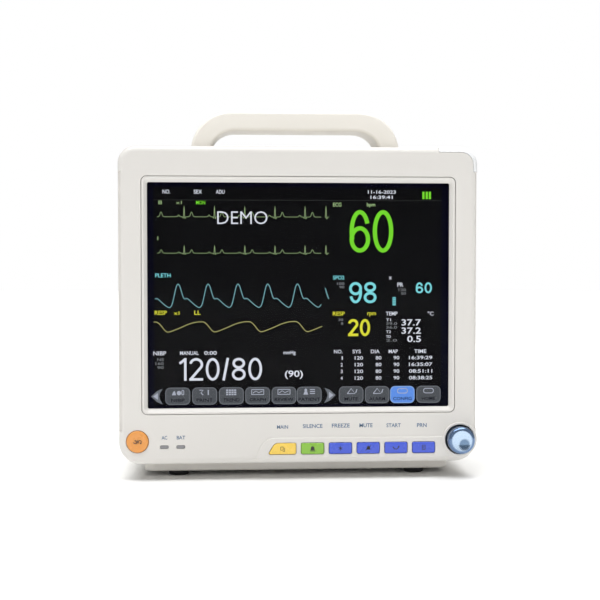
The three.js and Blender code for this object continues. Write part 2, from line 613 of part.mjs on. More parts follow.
// A flat-topped arch, thick enough to grip, whose legs stand in the top of the housing.
function carryHandle() {
  const { halfWidth, thickness, top, foot, front, back } = HANDLE;
  const inner = halfWidth - thickness;
  const innerRadius = HANDLE_RADIUS - thickness + 3;
  const arch = new THREE.Shape();
  arch.moveTo(halfWidth, foot);
  arch.absarc(halfWidth - HANDLE_RADIUS, top - HANDLE_RADIUS, HANDLE_RADIUS, 0, Math.PI / 2);
  arch.absarc(-halfWidth + HANDLE_RADIUS, top - HANDLE_RADIUS, HANDLE_RADIUS, Math.PI / 2, Math.PI);
  arch.lineTo(-halfWidth, foot);
  arch.lineTo(-inner, foot);
  arch.absarc(-inner + innerRadius, top - thickness - innerRadius, innerRadius, Math.PI, Math.PI / 2, true);
  arch.absarc(inner - innerRadius, top - thickness - innerRadius, innerRadius, Math.PI / 2, 0, true);
  arch.lineTo(inner, foot);
  arch.closePath();
  return sweep(arch, 'y', front, back, { edge: HANDLE_EDGE, steps: 2, curve: 4 });
}

// A round rubber foot with a peg that plugs into the plinth.
function foot(x, y) {
  const { radius, height } = FOOT;
  return turned('z', [x, y], [
    [0, 0], [radius - 1.6, 0], [radius, height - GAP], [3.9, height - GAP], [3.9, 9], [0, 9],
  ], 16);
}

addPiece('carry_handle', carryHandle(), 'handle');
for (const [end, y] of [['front', FOOT.frontY], ['rear', FOOT.backY]]) {
  for (const [side, x] of [['left', -FOOT.x], ['right', FOOT.x]]) {
    addPiece(`foot_${end}_${side}`, foot(x, y), 'rubber');
  }
}

// ---------------------------------------------------------------- patient sockets, left side

const SOCKET_Y = (SIDE_OPENING.front + SIDE_OPENING.back) / 2;
const SOCKETS = [
  { name: 'ecg_socket', z: 206, radius: 9.2, flange: 11.6, core: 5.6, look: 'grey' },
  { name: 'oxygen_socket', z: 174, radius: 8.2, flange: 10.4, core: 4.8, look: 'blue' },
  { name: 'cuff_port', z: 144, radius: 6.2, flange: 9, core: 0, look: 'steel' },
  { name: 'temperature_socket_1', z: 119, radius: 5.2, flange: 7.4, core: 0, look: 'black' },
  { name: 'temperature_socket_2', z: 99, radius: 5.2, flange: 7.4, core: 0, look: 'black' },
];
const PANEL_OUTER = -HOUSING.halfWidth + WALL + GAP;

function socketPanel() {
  let plate = box(PANEL_OUTER, PANEL_OUTER + 2.5, SIDE_OPENING.front - 4, SIDE_OPENING.back + 4,
    SOCKET_WINDOW.bottom - 4, SOCKET_WINDOW.top + 4);
  for (const { z, radius } of SOCKETS) {
    plate = cut(plate, rod('x', [SOCKET_Y, z], radius + 0.4, -160, -140, 16));
  }
  return plate;
}

// A flanged round socket. One with a core has a narrow ring channel round it for the
// plug's sleeve; one without has a single small hole.
function patientSocket({ z, radius, flange, core }) {
  const [tip, seat] = [-HOUSING.halfWidth + 0.4, PANEL_OUTER - GAP];
  const body = turned('x', [SOCKET_Y, z], [
    [0, tip], [flange - 0.8, tip], [flange, tip + 0.8], [flange, seat], [radius, seat],
    [radius, -141], [0, -141],
  ], 16);
  if (core === 0) return cut(body, rod('x', [SOCKET_Y, z], 1.8, -160, -143, 8));
  const channel = turned('x', [SOCKET_Y, z], [
    [core, -160], [core + 2, -160], [core + 2, -144], [core, -144], [core, -160],
  ], 16);
  return cut(body, channel);
}

addPiece('connector_panel', socketPanel(), 'black');
for (const socket of SOCKETS) addPiece(socket.name, patientSocket(socket), socket.look);

// ---------------------------------------------------------------- strip recorder, right side

const BAY = {
  outer: HOUSING.halfWidth - WALL - GAP,
  front: SIDE_OPENING.front - 4,
  back: SIDE_OPENING.back + 4,
};

// An open-sided tray behind an opening in the housing's wall.
function sideBay(inner, bottom, top) {
  return cut(box(inner, BAY.outer, BAY.front, BAY.back, bottom - 4, top + 4),
    box(inner + 2, BAY.outer + 1, BAY.front + 2, BAY.back - 2, bottom - 2, top + 2));
}

// Drop-down door with two ears that carry the platen roller, and a knuckle on its pin.
function recorderDoor() {
  const { inner, outer, gap, knuckle, bore } = DOOR;
  const [front, back] = [SIDE_OPENING.front + gap, SIDE_OPENING.back - gap];
  const plate = sweep(roundedRect(front, back, recorderPivot.z, RECORDER_WINDOW.top - gap, 0.4, 1.2), 'x',
    inner, outer, { curve: 1 });
  const roll = rod('y', [recorderPivot.x, recorderPivot.z], knuckle, front, back, 12);
  const ears = [front, back - 2.4].map((y) => box(141, inner + 0.5, y, y + 2.4,
    PLATEN.z - 4.6, PLATEN.z + 4.6));
  const grip = box(outer - 1.2, outer + 1, -12, 8, RECORDER_WINDOW.top - 14, RECORDER_WINDOW.top - 9);
  const exitSlot = box(inner - 1, outer + 1, front + 1.6, back - 1.6, RECORDER_WINDOW.top - 4.4,
    RECORDER_WINDOW.top - 2.6);
  return cut(join(plate, roll, ...ears), grip, exitSlot,
    rod('y', [recorderPivot.x, recorderPivot.z], bore, front - 1, back + 1, 12),
    rod('y', [PLATEN.x, PLATEN.z], PLATEN.axle + 0.2, front - 1, back + 1, 12));
}

function platenRoller() {
  const [front, back] = [SIDE_OPENING.front + DOOR.gap, SIDE_OPENING.back - DOOR.gap];
  const { x, z, radius, axle } = PLATEN;
  return turned('y', [x, z], [
    [0, front + 0.3], [axle, front + 0.3], [axle, front + 2.8], [radius, front + 2.8],
    [radius, back - 2.8], [axle, back - 2.8], [axle, back - 0.3], [0, back - 0.3],
  ], 16);
}

function paperRoll() {
  const [front, back] = [BAY.front + 5, BAY.back - 5];
  return turned('y', [ROLL.x, ROLL.z], [
    [ROLL.bore, front], [ROLL.radius, front], [ROLL.radius, back], [ROLL.bore, back], [ROLL.bore, front],
  ], 24);
}

const hingePin = { radius: DOOR.pin, reach: 2.4 };

// The tray has a moulded spindle for the roll, from wall to wall.
addPiece('recorder_case', join(sideBay(105, RECORDER_WINDOW.bottom, RECORDER_WINDOW.top),
  rod('y', [ROLL.x, ROLL.z], 5.7, BAY.front + 1, BAY.back - 1, 20)), 'black');
addPiece('recorder_door', recorderDoor(), 'casing');
addPiece('recorder_hinge_pin', rod('y', [recorderPivot.x, recorderPivot.z], hingePin.radius,
  SIDE_OPENING.front - hingePin.reach, SIDE_OPENING.back + hingePin.reach, 12), 'steel');
addPiece('platen_roller', platenRoller(), 'rubber');
addPiece('paper_roll', paperRoll(), 'paper');
addPiece('print_head', join(box(128, 138, BAY.front + 5, BAY.back - 5, 212, 226),
  box(107.3, 128.5, BAY.front + 8, BAY.back - 8, 217, 221)), 'steel');

// ---------------------------------------------------------------- battery bay, right side

function batteryDoor() {
  const { inner, outer, gap, knuckle, bore } = DOOR;
  const [low, high] = [BATTERY_WINDOW.bottom + gap, BATTERY_WINDOW.top - gap];
  const plate = sweep(roundedRect(SIDE_OPENING.front + gap, batteryPivot.y, low, high, 0.4), 'x',
    inner, outer, { curve: 1 });
  const roll = rod('z', [batteryPivot.x, batteryPivot.y], knuckle, low, high, 12);
  const grip = box(outer - 1.2, outer + 1, SIDE_OPENING.front + 4, SIDE_OPENING.front + 10, 94, 114);
  return cut(join(plate, roll), grip,
    rod('z', [batteryPivot.x, batteryPivot.y], bore, low - 1, high + 1, 12));
}

addPiece('battery_bay', sideBay(66, BATTERY_WINDOW.bottom, BATTERY_WINDOW.top), 'black');
addPiece('battery_door', batteryDoor(), 'casing');
addPiece('battery_hinge_pin', rod('z', [batteryPivot.x, batteryPivot.y], hingePin.radius,
  BATTERY_WINDOW.bottom - 2.2, BATTERY_WINDOW.top + 2.2, 12), 'steel');
addPiece('battery_pack', sweep(roundedRect(BAY.front + 2.6, BAY.back - 2.6, BATTERY_WINDOW.bottom - 1.6,
  BATTERY_WINDOW.top + 1.4, 3), 'x', 68.6, 146, { edge: 1.2, steps: 1, curve: 1 }), 'grey');

// ---------------------------------------------------------------- inside the housing

// Main board with chips, a shield can and edge connectors, facing back.
function mainBoard() {
  let board = box(-105, 60, -40, -38.4, 60, 256);
  for (const [x, z, w, h, tall] of [
    [-70, 210, 34, 34, 5], [-20, 205, 26, 26, 3], [28, 215, 22, 44, 9], [-75, 150, 22, 30, 2.4],
    [-30, 150, 40, 18, 2.4], [25, 150, 30, 30, 6], [-60, 90, 60, 12, 8], [25, 90, 44, 10, 8],
  ]) {
    board = join(board, box(x - w / 2, x + w / 2, -38.6, -38.4 + tall, z - h / 2, z + h / 2));
  }
  return board;
}

// Open-frame supply: a board on the floor with a transformer, a heat sink and capacitors.
function powerSupply() {
  let board = box(-75, 55, -24, 44, 22, 23.6);
  board = join(board, box(-45, -5, -8, 26, 23.4, 52));
  for (const x of [8, 13, 18, 23]) board = join(board, box(x, x + 1.6, -16, 30, 23.4, 46));
  board = join(board, box(6, 26, -16, 30, 23.4, 26));
  for (const [x, y] of [[38, -8], [38, 12], [38, 32], [-62, 0], [-62, 22]]) {
    board = join(board, rod('z', [x, y], 7, 23.4, 46, 10));
  }
  return board;
}

function cuffPump() {
  const [y, z] = [44, 120];
  return join(rod('x', [y, z], 14, -60, -18, 14), rod('x', [y, z], 9, -18.2, -4, 12),
    box(-54, -24, y, HALF_DEPTH - WALL - GAP, z - 10, z + 10), rod('x', [y, z + 4], 2, -4.2, 4, 8));
}

// Square fan case with three spokes that hold its motor stub.
function fanCase() {
  const { x, z, half, bore, front } = FAN;
  const back = HALF_DEPTH - WALL - GAP;
  const square = roundedRect(x - half, x + half, z - half, z + half, 4);
  let frame = cut(sweep(square, 'y', front, back, { curve: 1 }),
    rod('y', [x, z], bore, front - 1, back + 1, 24));
  frame = join(frame, rod('y', [x, z], 10, back - 3, back, 12),
    rod('y', [x, z], 1.5, front + 2, back - 2.8, 8));
  for (let i = 0; i < 3; i++) {
    const spoke = new THREE.BoxGeometry(bore, 2.4, 3);
    spoke.translate(bore / 2 + 2, back - 1.2, 0);
    spoke.rotateY((i * 2 * Math.PI) / 3 + 0.4);
    spoke.translate(x, 0, z);
    frame = join(frame, toSolid(spoke));
  }
  return frame;
}

function fanRotor() {
  const { x, z, front } = FAN;
  const back = HALF_DEPTH - WALL - GAP;
  let rotor = rod('y', [x, z], 11, front + 1.5, back - 3.5, 16);
  for (let i = 0; i < 7; i++) {
    const blade = new THREE.BoxGeometry(16.5, 1.4, 13);
    blade.rotateX(0.62);
    blade.translate(17.5, (front + back - 2) / 2, 0);
    blade.rotateY((i * 2 * Math.PI) / 7);
    blade.translate(x, 0, z);
    rotor = join(rotor, toSolid(blade));
  }
  return cut(rotor, rod('y', [x, z], 1.7, front, back, 8));
}

function speaker() {
  const back = HALF_DEPTH - WALL - GAP;
  return turned('y', [SPEAKER.x, SPEAKER.z], [
    [0, back - 18], [11, back - 18], [11, back - 10], [20, back - 4], [SPEAKER.radius, back - 3],
    [SPEAKER.radius, back], [21, back], [7, back - 6], [0, back - 4],
  ], 16);
}

addPiece('main_board', mainBoard(), 'board');
addPiece('parameter_module', join(box(-138.5, -112, -24, 20, 76, 232),
  box(-112.2, -108.5, -14, 10, 100, 200)), 'steel');
addPiece('power_supply_board', powerSupply(), 'board');
addPiece('cuff_pump', cuffPump(), 'steel');
addPiece('cooling_fan_case', fanCase(), 'black');
addPiece('cooling_fan_rotor', fanRotor(), 'black');
addPiece('speaker', speaker(), 'black');

// Long screws down the posts, from the back of the housing into the bezel.
function housingScrew(x, z) {
  const head = SCREW_SEAT + GAP;
  const screw = turned('y', [x, z], [
    [0, -47.5], [1.35, -46.3], [1.35, head], [2.8, head], [2.8, head + 2.4], [0, head + 2.8],
  ], 10);
  return cut(screw, box(x - 1.9, x + 1.9, head + 1.6, head + 4, z - 0.35, z + 0.35));
}

for (const [level, z] of [['upper', SCREW_POST.high], ['lower', SCREW_POST.low]]) {
  for (const [side, x] of [['left', -SCREW_POST.x], ['right', SCREW_POST.x]]) {
    addPiece(`housing_screw_${level}_${side}`, housingScrew(x, z), 'steel');
  }
}

export default monitor;
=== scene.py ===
# %% [markdown]
# # A bedside patient monitor
#
# The object is a moulded plastic monitor: a front bezel round a glossy screen, six push keys, a round
# power button, a rotary knob, a milky alarm lamp over one corner, a carry handle, and sockets, a strip
# recorder and a battery behind it. Its parts were first made as solids. This lesson loads those solids as
# a fixed frame, and builds the finished look of each piece round them.
#
# Every place and size below is in millimetres in the frame's own axes: X to the right, Y to the back and
# Z up. One function at the end of the line turns them into metres.

import math

import bmesh
import bpy
import numpy as np
from mathutils import Matrix, Vector


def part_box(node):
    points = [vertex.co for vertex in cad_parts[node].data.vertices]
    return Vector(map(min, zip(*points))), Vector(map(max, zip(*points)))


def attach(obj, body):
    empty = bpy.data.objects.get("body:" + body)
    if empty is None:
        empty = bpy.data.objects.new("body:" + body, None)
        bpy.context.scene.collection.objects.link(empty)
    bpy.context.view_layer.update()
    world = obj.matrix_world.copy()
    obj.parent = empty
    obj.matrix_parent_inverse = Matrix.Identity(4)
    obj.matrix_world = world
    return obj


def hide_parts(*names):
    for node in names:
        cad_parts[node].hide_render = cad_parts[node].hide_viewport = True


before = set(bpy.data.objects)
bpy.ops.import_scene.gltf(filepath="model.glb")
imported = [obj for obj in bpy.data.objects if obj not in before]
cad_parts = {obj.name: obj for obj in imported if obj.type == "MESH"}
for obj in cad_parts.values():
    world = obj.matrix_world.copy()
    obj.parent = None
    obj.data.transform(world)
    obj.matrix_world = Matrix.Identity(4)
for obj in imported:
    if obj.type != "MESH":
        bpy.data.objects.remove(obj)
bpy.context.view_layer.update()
MM = 0.001


def span(node):
    """Lowest and highest corner of a solid, in millimetres."""
    low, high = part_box(node)
    return np.array(low) / MM, np.array(high) / MM


def centre(node):
    """The middle of a solid's box, in millimetres."""
    low, high = span(node)
    return (low + high) / 2


FACE_Y = -64.0
KNOB_X, KNOB_Z = 138.5, 33.5
print("front face of the bezel at y =", FACE_Y)

# %% [markdown]
# ## The camera and the light
#
# A studio set has a pale floor, a wide soft light from above and the front, and a long lens that
# keeps upright edges upright. The light is set before any piece is made, because a finish can only be
# judged under it. Large area lamps stand for softboxes: their size makes the shadows soft.

# %% Camera
scene = bpy.context.scene
CAMERA_AT = (-75.0, -1113.0, 190.0)
CAMERA_AIM = (0.3, -64.0, 154.1)
camera_data = bpy.data.cameras.new("camera")
camera_data.lens = 74.0
camera_data.sensor_width = 36.0
camera = bpy.data.objects.new("camera", camera_data)
scene.collection.objects.link(camera)
camera.location = Vector(CAMERA_AT) * MM


def look_from(thing, at, towards):
    """Turns a camera or a lamp, standing at one point, towards another."""
    thing.rotation_euler = (Vector(towards) - Vector(at)).to_track_quat("-Z", "Y").to_euler()


look_from(camera, CAMERA_AT, CAMERA_AIM)
scene.camera = camera
print("camera at", CAMERA_AT)

# %% Lamps, sky and floor
scene.view_settings.view_transform = "Standard"


SOFTBOX_COLOUR = (1.0, 0.985, 0.96)


def softbox(name, at, towards, size, power):
    """A square area lamp at a point in metres, turned to another point."""
    data = bpy.data.lights.new(name, "AREA")
    data.shape = "SQUARE"
    data.size = size
    data.energy = power
    data.color = SOFTBOX_COLOUR
    lamp = bpy.data.objects.new(name, data)
    scene.collection.objects.link(lamp)
    lamp.location = at
    look_from(lamp, at, towards)
    return lamp


MIDDLE = (0, 0, 0.15)
softbox("softbox_front_left", (-1.3, -1.5, 0.9), MIDDLE, 0.9, 1.6)
softbox("softbox_front_right", (1.5, -1.1, 0.7), MIDDLE, 0.8, 0.9)
softbox("softbox_back", (0.6, 1.6, 1.1), MIDDLE, 1.0, 5.0)
softbox_low = softbox("softbox_low", (-0.1, -1.3, 0.04), (0, 0, 0.0), 0.3, 3.0)
softbox_low.visible_glossy = False
overhead_data = bpy.data.lights.new("overhead", "SUN")
overhead_data.energy = 4.0
overhead_data.angle = 1.1
overhead = bpy.data.objects.new("overhead", overhead_data)
scene.collection.objects.link(overhead)
overhead.rotation_euler = (math.radians(4), math.radians(-5), 0)

world = bpy.data.worlds.new("studio")
scene.world = world
world.use_nodes = True
sky = world.node_tree.nodes
sky.clear()
SKY_COLOUR, WHITE = (0.97, 0.985, 1.0), (1.0, 1.0, 1.0)


def backdrop(colour, strength):
    """One even sky, seen by one kind of ray."""
    node = sky.new("ShaderNodeBackground")
    node.inputs["Color"].default_value = (*colour, 1.0)
    node.inputs["Strength"].default_value = strength
    return node.outputs[0]


def sky_switch(ray, others, these):
    """Gives one kind of ray its own sky and leaves the other rays theirs."""
    node = sky.new("ShaderNodeMixShader")
    for socket, value in zip(node.inputs, (sky_path.outputs[ray], others, these)):
        world.node_tree.links.new(value, socket)
    return node.outputs[0]


sky_out = sky.new("ShaderNodeOutputWorld")
sky_path = sky.new("ShaderNodeLightPath")
sky_lit = sky_switch("Is Glossy Ray", backdrop(SKY_COLOUR, 0.2), backdrop(SKY_COLOUR, 0.3))
sky_all = sky_switch("Is Camera Ray", sky_lit, backdrop(WHITE, 1.0))
world.node_tree.links.new(sky_all, sky_out.inputs["Surface"])

FLOOR_RADIUS, FLOOR_SIDES = 6.0, 96
turn = np.linspace(0, 2 * math.pi, FLOOR_SIDES, endpoint=False)
floor_mesh = bpy.data.meshes.new("floor")
floor_mesh.from_pydata(
    np.c_[FLOOR_RADIUS * np.cos(turn), FLOOR_RADIUS * np.sin(turn), 0 * turn].tolist(),
    [],
    [list(range(FLOOR_SIDES))],
)
floor = bpy.data.objects.new("floor", floor_mesh)
scene.collection.objects.link(floor)

# %% [markdown]
# ## Shared effects for the finishes
#
# Moulded plastic is never one flat colour. The mould leaves a fine grain, the surface is a little
# uneven in tone, fingers leave duller patches, and dust settles on what faces up. Each of these is a
# node group with its own settings, built once and used in many finishes. A group gives out only masks
# and heights, and the shader itself stays in each material.


# %% Node group helpers
def group_tree(name, inputs, outputs):
    """An empty node group with named float inputs (name, value) and float outputs."""
    tree = bpy.data.node_groups.new(name, "ShaderNodeTree")
    for label, value in inputs:
        socket = tree.interface.new_socket(
            label, in_out="INPUT", socket_type="NodeSocketFloat"
        )
        socket.default_value = value
    for label in outputs:
        tree.interface.new_socket(
            label, in_out="OUTPUT", socket_type="NodeSocketFloat"
        )
    source = tree.nodes.new("NodeGroupInput")
    sink = tree.nodes.new("NodeGroupOutput")
    return tree, source, sink


def math_node(tree, operation, first, second=None, clamp=False):
    """One Math node; first and second are numbers or sockets."""
    node = tree.nodes.new("ShaderNodeMath")
    node.operation = operation
    node.use_clamp = clamp
    for socket, value in zip(node.inputs, (first, second)):
        if value is None:
            continue
        if isinstance(value, (int, float)):
            socket.default_value = value
        else:
            tree.links.new(value, socket)
    return node.outputs[0]


def noise_node(tree, scale, detail=2.0, roughness=0.5, vector=None):
    """Noise on the object's own coordinates; scale is a number or a socket, in waves per metre."""
    if vector is None:
        vector = tree.nodes.new("ShaderNodeTexCoord").outputs["Object"]
    node = tree.nodes.new("ShaderNodeTexNoise")
    node.inputs["Detail"].default_value = detail
    node.inputs["Roughness"].default_value = roughness
    tree.links.new(vector, node.inputs["Vector"])
    if isinstance(scale, (int, float)):
        node.inputs["Scale"].default_value = scale
    else:
        tree.links.new(scale, node.inputs["Scale"])
    return node.outputs["Fac"]


def give_mask(tree, value, source, sink):
    """Sends a value times the group's Amount to its Mask."""
    tree.links.new(math_node(tree, "MULTIPLY", value, source.outputs["Amount"]), sink.inputs["Mask"])


# %% Grain, tone, touch marks, dust and brushing
grain_group, grain_in, grain_out = group_tree(
    "moulded_grain", [("Scale", 1400.0), ("Softness", 0.5)], ["Height"]
)
coords = grain_group.nodes.new("ShaderNodeTexCoord")
pits = grain_group.nodes.new("ShaderNodeTexVoronoi")
grain_group.links.new(coords.outputs["Object"], pits.inputs["Vector"])
grain_group.links.new(grain_in.outputs["Scale"], pits.inputs["Scale"])
fine = noise_node(
    grain_group, math_node(grain_group, "MULTIPLY", grain_in.outputs["Scale"], 0.6)
)
blend = math_node(grain_group, "MULTIPLY", pits.outputs["Distance"], grain_in.outputs["Softness"])
grain_group.links.new(math_node(grain_group, "ADD", blend, fine), grain_out.inputs["Height"])

tone_group, tone_in, tone_out = group_tree(
    "uneven_tone", [("Scale", 22.0), ("Amount", 0.1)], ["Mask"]
)
broad = noise_node(tone_group, tone_in.outputs["Scale"], detail=4.0)
give_mask(tone_group, broad, tone_in, tone_out)

touch_group, touch_in, touch_out = group_tree(
    "touch_marks", [("Scale", 60.0), ("Amount", 0.12)], ["Mask"]
)
patches = noise_node(touch_group, touch_in.outputs["Scale"], detail=5.0, roughness=0.62)
patches = math_node(touch_group, "SUBTRACT", patches, 0.45, clamp=True)
patches = math_node(touch_group, "MULTIPLY", patches, 3.0, clamp=True)
give_mask(touch_group, patches, touch_in, touch_out)

dust_group, dust_in, dust_out = group_tree(
    "settled_dust", [("Scale", 240.0), ("Amount", 0.3)], ["Mask"]
)
facing = dust_group.nodes.new("ShaderNodeNewGeometry")
upward = dust_group.nodes.new("ShaderNodeSeparateXYZ")
dust_group.links.new(facing.outputs["Normal"], upward.inputs["Vector"])
level = math_node(dust_group, "SUBTRACT", upward.outputs["Z"], 0.55, clamp=True)
specks = noise_node(dust_group, dust_in.outputs["Scale"], detail=6.0, roughness=0.7)
specks = math_node(dust_group, "MULTIPLY", specks, level)
give_mask(dust_group, specks, dust_in, dust_out)

brush_group, brush_in, brush_out = group_tree(
    "brushing", [("Scale", 900.0), ("Amount", 0.2)], ["Mask"]
)
brush_coords = brush_group.nodes.new("ShaderNodeTexCoord")
stretch = brush_group.nodes.new("ShaderNodeMapping")
stretch.inputs["Scale"].default_value = (0.02, 1.0, 1.0)
brush_group.links.new(brush_coords.outputs["Object"], stretch.inputs["Vector"])
lines = noise_node(
    brush_group, brush_in.outputs["Scale"], detail=3.0, vector=stretch.outputs["Vector"]
)
give_mask(brush_group, lines, brush_in, brush_out)
print("node groups:", [g.name for g in bpy.data.node_groups])


# %% [markdown]
# ## Finishes
#
# One function builds the Principled shader of every plastic, rubber and metal, and its arguments are
# what a maker would choose: colour, gloss, how deep and how fine the grain is, and how much dust the
# piece carries. Numbers that are the same all over go straight on the shader's sockets.


# %% Finish function
def use_group(tree, group, **values):
    """Places a shared node group in a material and sets its inputs."""
    node = tree.nodes.new("ShaderNodeGroup")
    node.node_tree = group
    for label, value in values.items():
        node.inputs[label].default_value = value
    return node.outputs[0]


def principled(material):
    """The material's Principled shader node."""
    return material.node_tree.nodes["Principled BSDF"]


def mix_colours(tree, mask, first, second):
    """Colour mix by a mask socket; first and second are colours or sockets."""
    node = tree.nodes.new("ShaderNodeMix")
    node.data_type = "RGBA"
    tree.links.new(mask, node.inputs[0])
    for socket, value in ((node.inputs[6], first), (node.inputs[7], second)):
        if isinstance(value, tuple):
            socket.default_value = (*value, 1.0)
        else:
            tree.links.new(value, socket)
    return node.outputs[2]


def finish(
    name,
    colour,
    rough=0.42,
    grain=1400.0,
    depth=0.02,
    tone=0.12,
    touch=0.1,
    dust=0.3,
    metal=0.0,
    coat=0.0,
    brushed=0.0,
    specular=0.5,
    tone_scale=22.0,
):
    """A finish: tone varies the colour, touch marks and brushing vary the gloss, grain lifts the surface."""
    material = bpy.data.materials.new(name)
    material.use_nodes = True
    tree = material.node_tree
    shader = principled(material)
    darker = tuple(c * 0.72 for c in colour)
    shade = mix_colours(
        tree, use_group(tree, tone_group, Scale=tone_scale, Amount=tone * 2), colour, darker
    )
    if dust:
        shade = mix_colours(
            tree,
            use_group(tree, dust_group, Scale=260.0, Amount=dust),
            shade,
            (0.62, 0.60, 0.56),
        )
    tree.links.new(shade, shader.inputs["Base Color"])
    gloss = math_node(tree, "ADD", use_group(tree, touch_group, Scale=70.0, Amount=touch), rough)
    if brushed:
        gloss = math_node(
            tree, "ADD", gloss, use_group(tree, brush_group, Scale=900.0, Amount=brushed)
        )
    tree.links.new(gloss, shader.inputs["Roughness"])
    shader.inputs["Metallic"].default_value = metal
    shader.inputs["Specular IOR Level"].default_value = specular
    shader.inputs["Coat Weight"].default_value = coat
    shader.inputs["Coat Roughness"].default_value = 0.08
    if depth:
        bump = tree.nodes.new("ShaderNodeBump")
        bump.inputs["Distance"].default_value = depth * MM
        bump.inputs["Strength"].default_value = 0.6
        tree.links.new(
            use_group(tree, grain_group, Scale=grain, Softness=0.6), bump.inputs["Height"]
        )
        tree.links.new(bump.outputs["Normal"], shader.inputs["Normal"])
    return material


def glowing(name, colour, strength):
    """A lit mark on the display: a dark base that gives out its own light, a little uneven."""
    material = bpy.data.materials.new(name)
    material.use_nodes = True
    tree = material.node_tree
    shader = principled(material)
    shader.inputs["Base Color"].default_value = (0.0, 0.0, 0.0, 1.0)
    shader.inputs["Roughness"].default_value = 0.5
    shader.inputs["Specular IOR Level"].default_value = 0.0
    dimmer = tuple(c * 0.82 for c in colour)
    tree.links.new(
        mix_colours(tree, use_group(tree, tone_group, Scale=400.0, Amount=1.0), colour, dimmer),
        shader.inputs["Emission Color"],
    )
    shader.inputs["Emission Strength"].default_value = strength
    return material


# %% The finishes themselves
FLOOR_FINISH = finish(
    "pale_floor", (0.93, 0.93, 0.92), rough=0.7, depth=0, tone=0.02, touch=0, dust=0, specular=0.2
)
floor.data.materials.append(FLOOR_FINISH)
CASING = finish("casing_plastic", (0.705, 0.685, 0.655), rough=0.4, depth=0.035, tone=0.04, dust=0.16)
FRAME_PLASTIC = finish(
    "display_frame_plastic", (0.72, 0.70, 0.67), rough=0.3, depth=0.02, tone=0.03, dust=0.1
)
REAR_CASING = finish(
    "rear_casing_plastic", (0.76, 0.735, 0.69), rough=0.48, grain=900.0, depth=0.06, tone=0.05, dust=0.3
)
HANDLE_PLASTIC = finish(
    "handle_plastic", (0.88, 0.85, 0.79), rough=0.36, depth=0.03, tone=0.05, dust=0.2
)
BLACK_PLASTIC = finish("black_plastic", (0.018, 0.018, 0.02), rough=0.45, depth=0.05, dust=0.12)
GREY_PLASTIC = finish("grey_plastic", (0.27, 0.275, 0.285), rough=0.35, depth=0.03)
SOCKET_BLUE = finish("socket_blue", (0.03, 0.12, 0.42), rough=0.32, depth=0.02)
KEY_LOOK = {"rough": 0.26, "depth": 0.012, "coat": 0.25, "dust": 0.06}
KEY_BLUE = finish("key_blue", (0.055, 0.105, 0.66), **KEY_LOOK)
KEY_GREEN = finish("key_green", (0.25, 0.52, 0.05), **KEY_LOOK)
KEY_YELLOW = finish("key_yellow", (0.90, 0.62, 0.10), **KEY_LOOK)
BUTTON_ORANGE = finish("button_orange", (0.78, 0.32, 0.07), **KEY_LOOK)
RUBBER = finish("rubber", (0.012, 0.012, 0.012), rough=0.75, grain=700.0, depth=0.08, dust=0.35)
STEEL = finish(
    "plated_steel", (0.60, 0.61, 0.63), rough=0.22, depth=0.01, metal=1.0, brushed=0.3, dust=0.1
)
BRASS = finish("brass", (0.72, 0.52, 0.2), rough=0.2, depth=0.01, metal=1.0, brushed=0.2, dust=0.1)
KNOB_SILVER = finish(
    "knob_silver", (0.50, 0.64, 0.82), rough=0.2, depth=0.004, metal=0.8, coat=0.5, touch=0.05, dust=0.0
)


def reach_mask(tree, at, inner, outer):
    """One inside the inner distance of a point in x and z, falling smoothly to zero at the outer one."""
    spot = tree.nodes.new("ShaderNodeTexCoord")
    flat = tree.nodes.new("ShaderNodeVectorMath")
    flat.operation = "MULTIPLY"
    flat.inputs[1].default_value = (1, 0, 1)
    away = tree.nodes.new("ShaderNodeVectorMath")
    away.operation = "DISTANCE"
    away.inputs[1].default_value = (at[0] * MM, 0, at[1] * MM)
    fade = tree.nodes.new("ShaderNodeMapRange")
    fade.interpolation_type = "SMOOTHSTEP"
    fade.inputs["From Min"].default_value = inner * MM
    fade.inputs["From Max"].default_value = outer * MM
    fade.inputs["To Min"].default_value = 1.0
    fade.inputs["To Max"].default_value = 0.0
    tree.links.new(spot.outputs["Object"], flat.inputs[0])
    tree.links.new(flat.outputs[0], away.inputs[0])
    tree.links.new(away.outputs["Value"], fade.inputs["Value"])
    return fade.outputs["Result"]


# Painted shade: the knob's rounded rim and its finger dimple get darker blue colours in place of the shade
# that falls on them, and the silver colour stays only on the flat face.
RIM_PAINTED_SHADE, DIMPLE_PAINTED_SHADE = (0.13, 0.21, 0.36), (0.14, 0.23, 0.36)
knob_tree = KNOB_SILVER.node_tree
knob_colour = principled(KNOB_SILVER).inputs["Base Color"]
unshaded_face_mask = reach_mask(knob_tree, (KNOB_X, KNOB_Z), 8.0, 9.4)
dimple_shade_mask = reach_mask(knob_tree, (KNOB_X + 2.1, KNOB_Z - 3.0), 3.4, 5.4)
knob_shaded_colour = mix_colours(knob_tree, unshaded_face_mask, RIM_PAINTED_SHADE, knob_colour.links[0].from_socket)
knob_shaded_colour = mix_colours(knob_tree, dimple_shade_mask, knob_shaded_colour, DIMPLE_PAINTED_SHADE)
knob_tree.links.new(knob_shaded_colour, knob_colour)
BOARD_GREEN = finish(
    "board_green", (0.015, 0.12, 0.045), rough=0.3, grain=500.0, depth=0.06, tone=0.5, tone_scale=160.0
)
PAPER = finish("thermal_paper", (0.87, 0.86, 0.82), rough=0.6, grain=2500.0, depth=0.02, tone=0.06)
PRINT_INK = finish("printed_legend", (0.055, 0.13, 0.25), rough=0.5, depth=0, tone=0.2, dust=0.05)
DARK_INK = finish("printed_symbol", (0.035, 0.03, 0.03), rough=0.5, depth=0, tone=0.2, dust=0.05)
print("finishes:", len(bpy.data.materials))

# %% [markdown]
# ## How the shapes are made
#
# Almost every piece here is a skin stretched over a stack of closed outlines, as a boat's hull is
# stretched over its ribs. An outline is a row of points in a flat plane. Moving it inwards while it
# steps forward makes a rounded edge, and joining the last outline back to the first makes a ring with
# a hole through it. The points are worked out as whole numpy arrays.


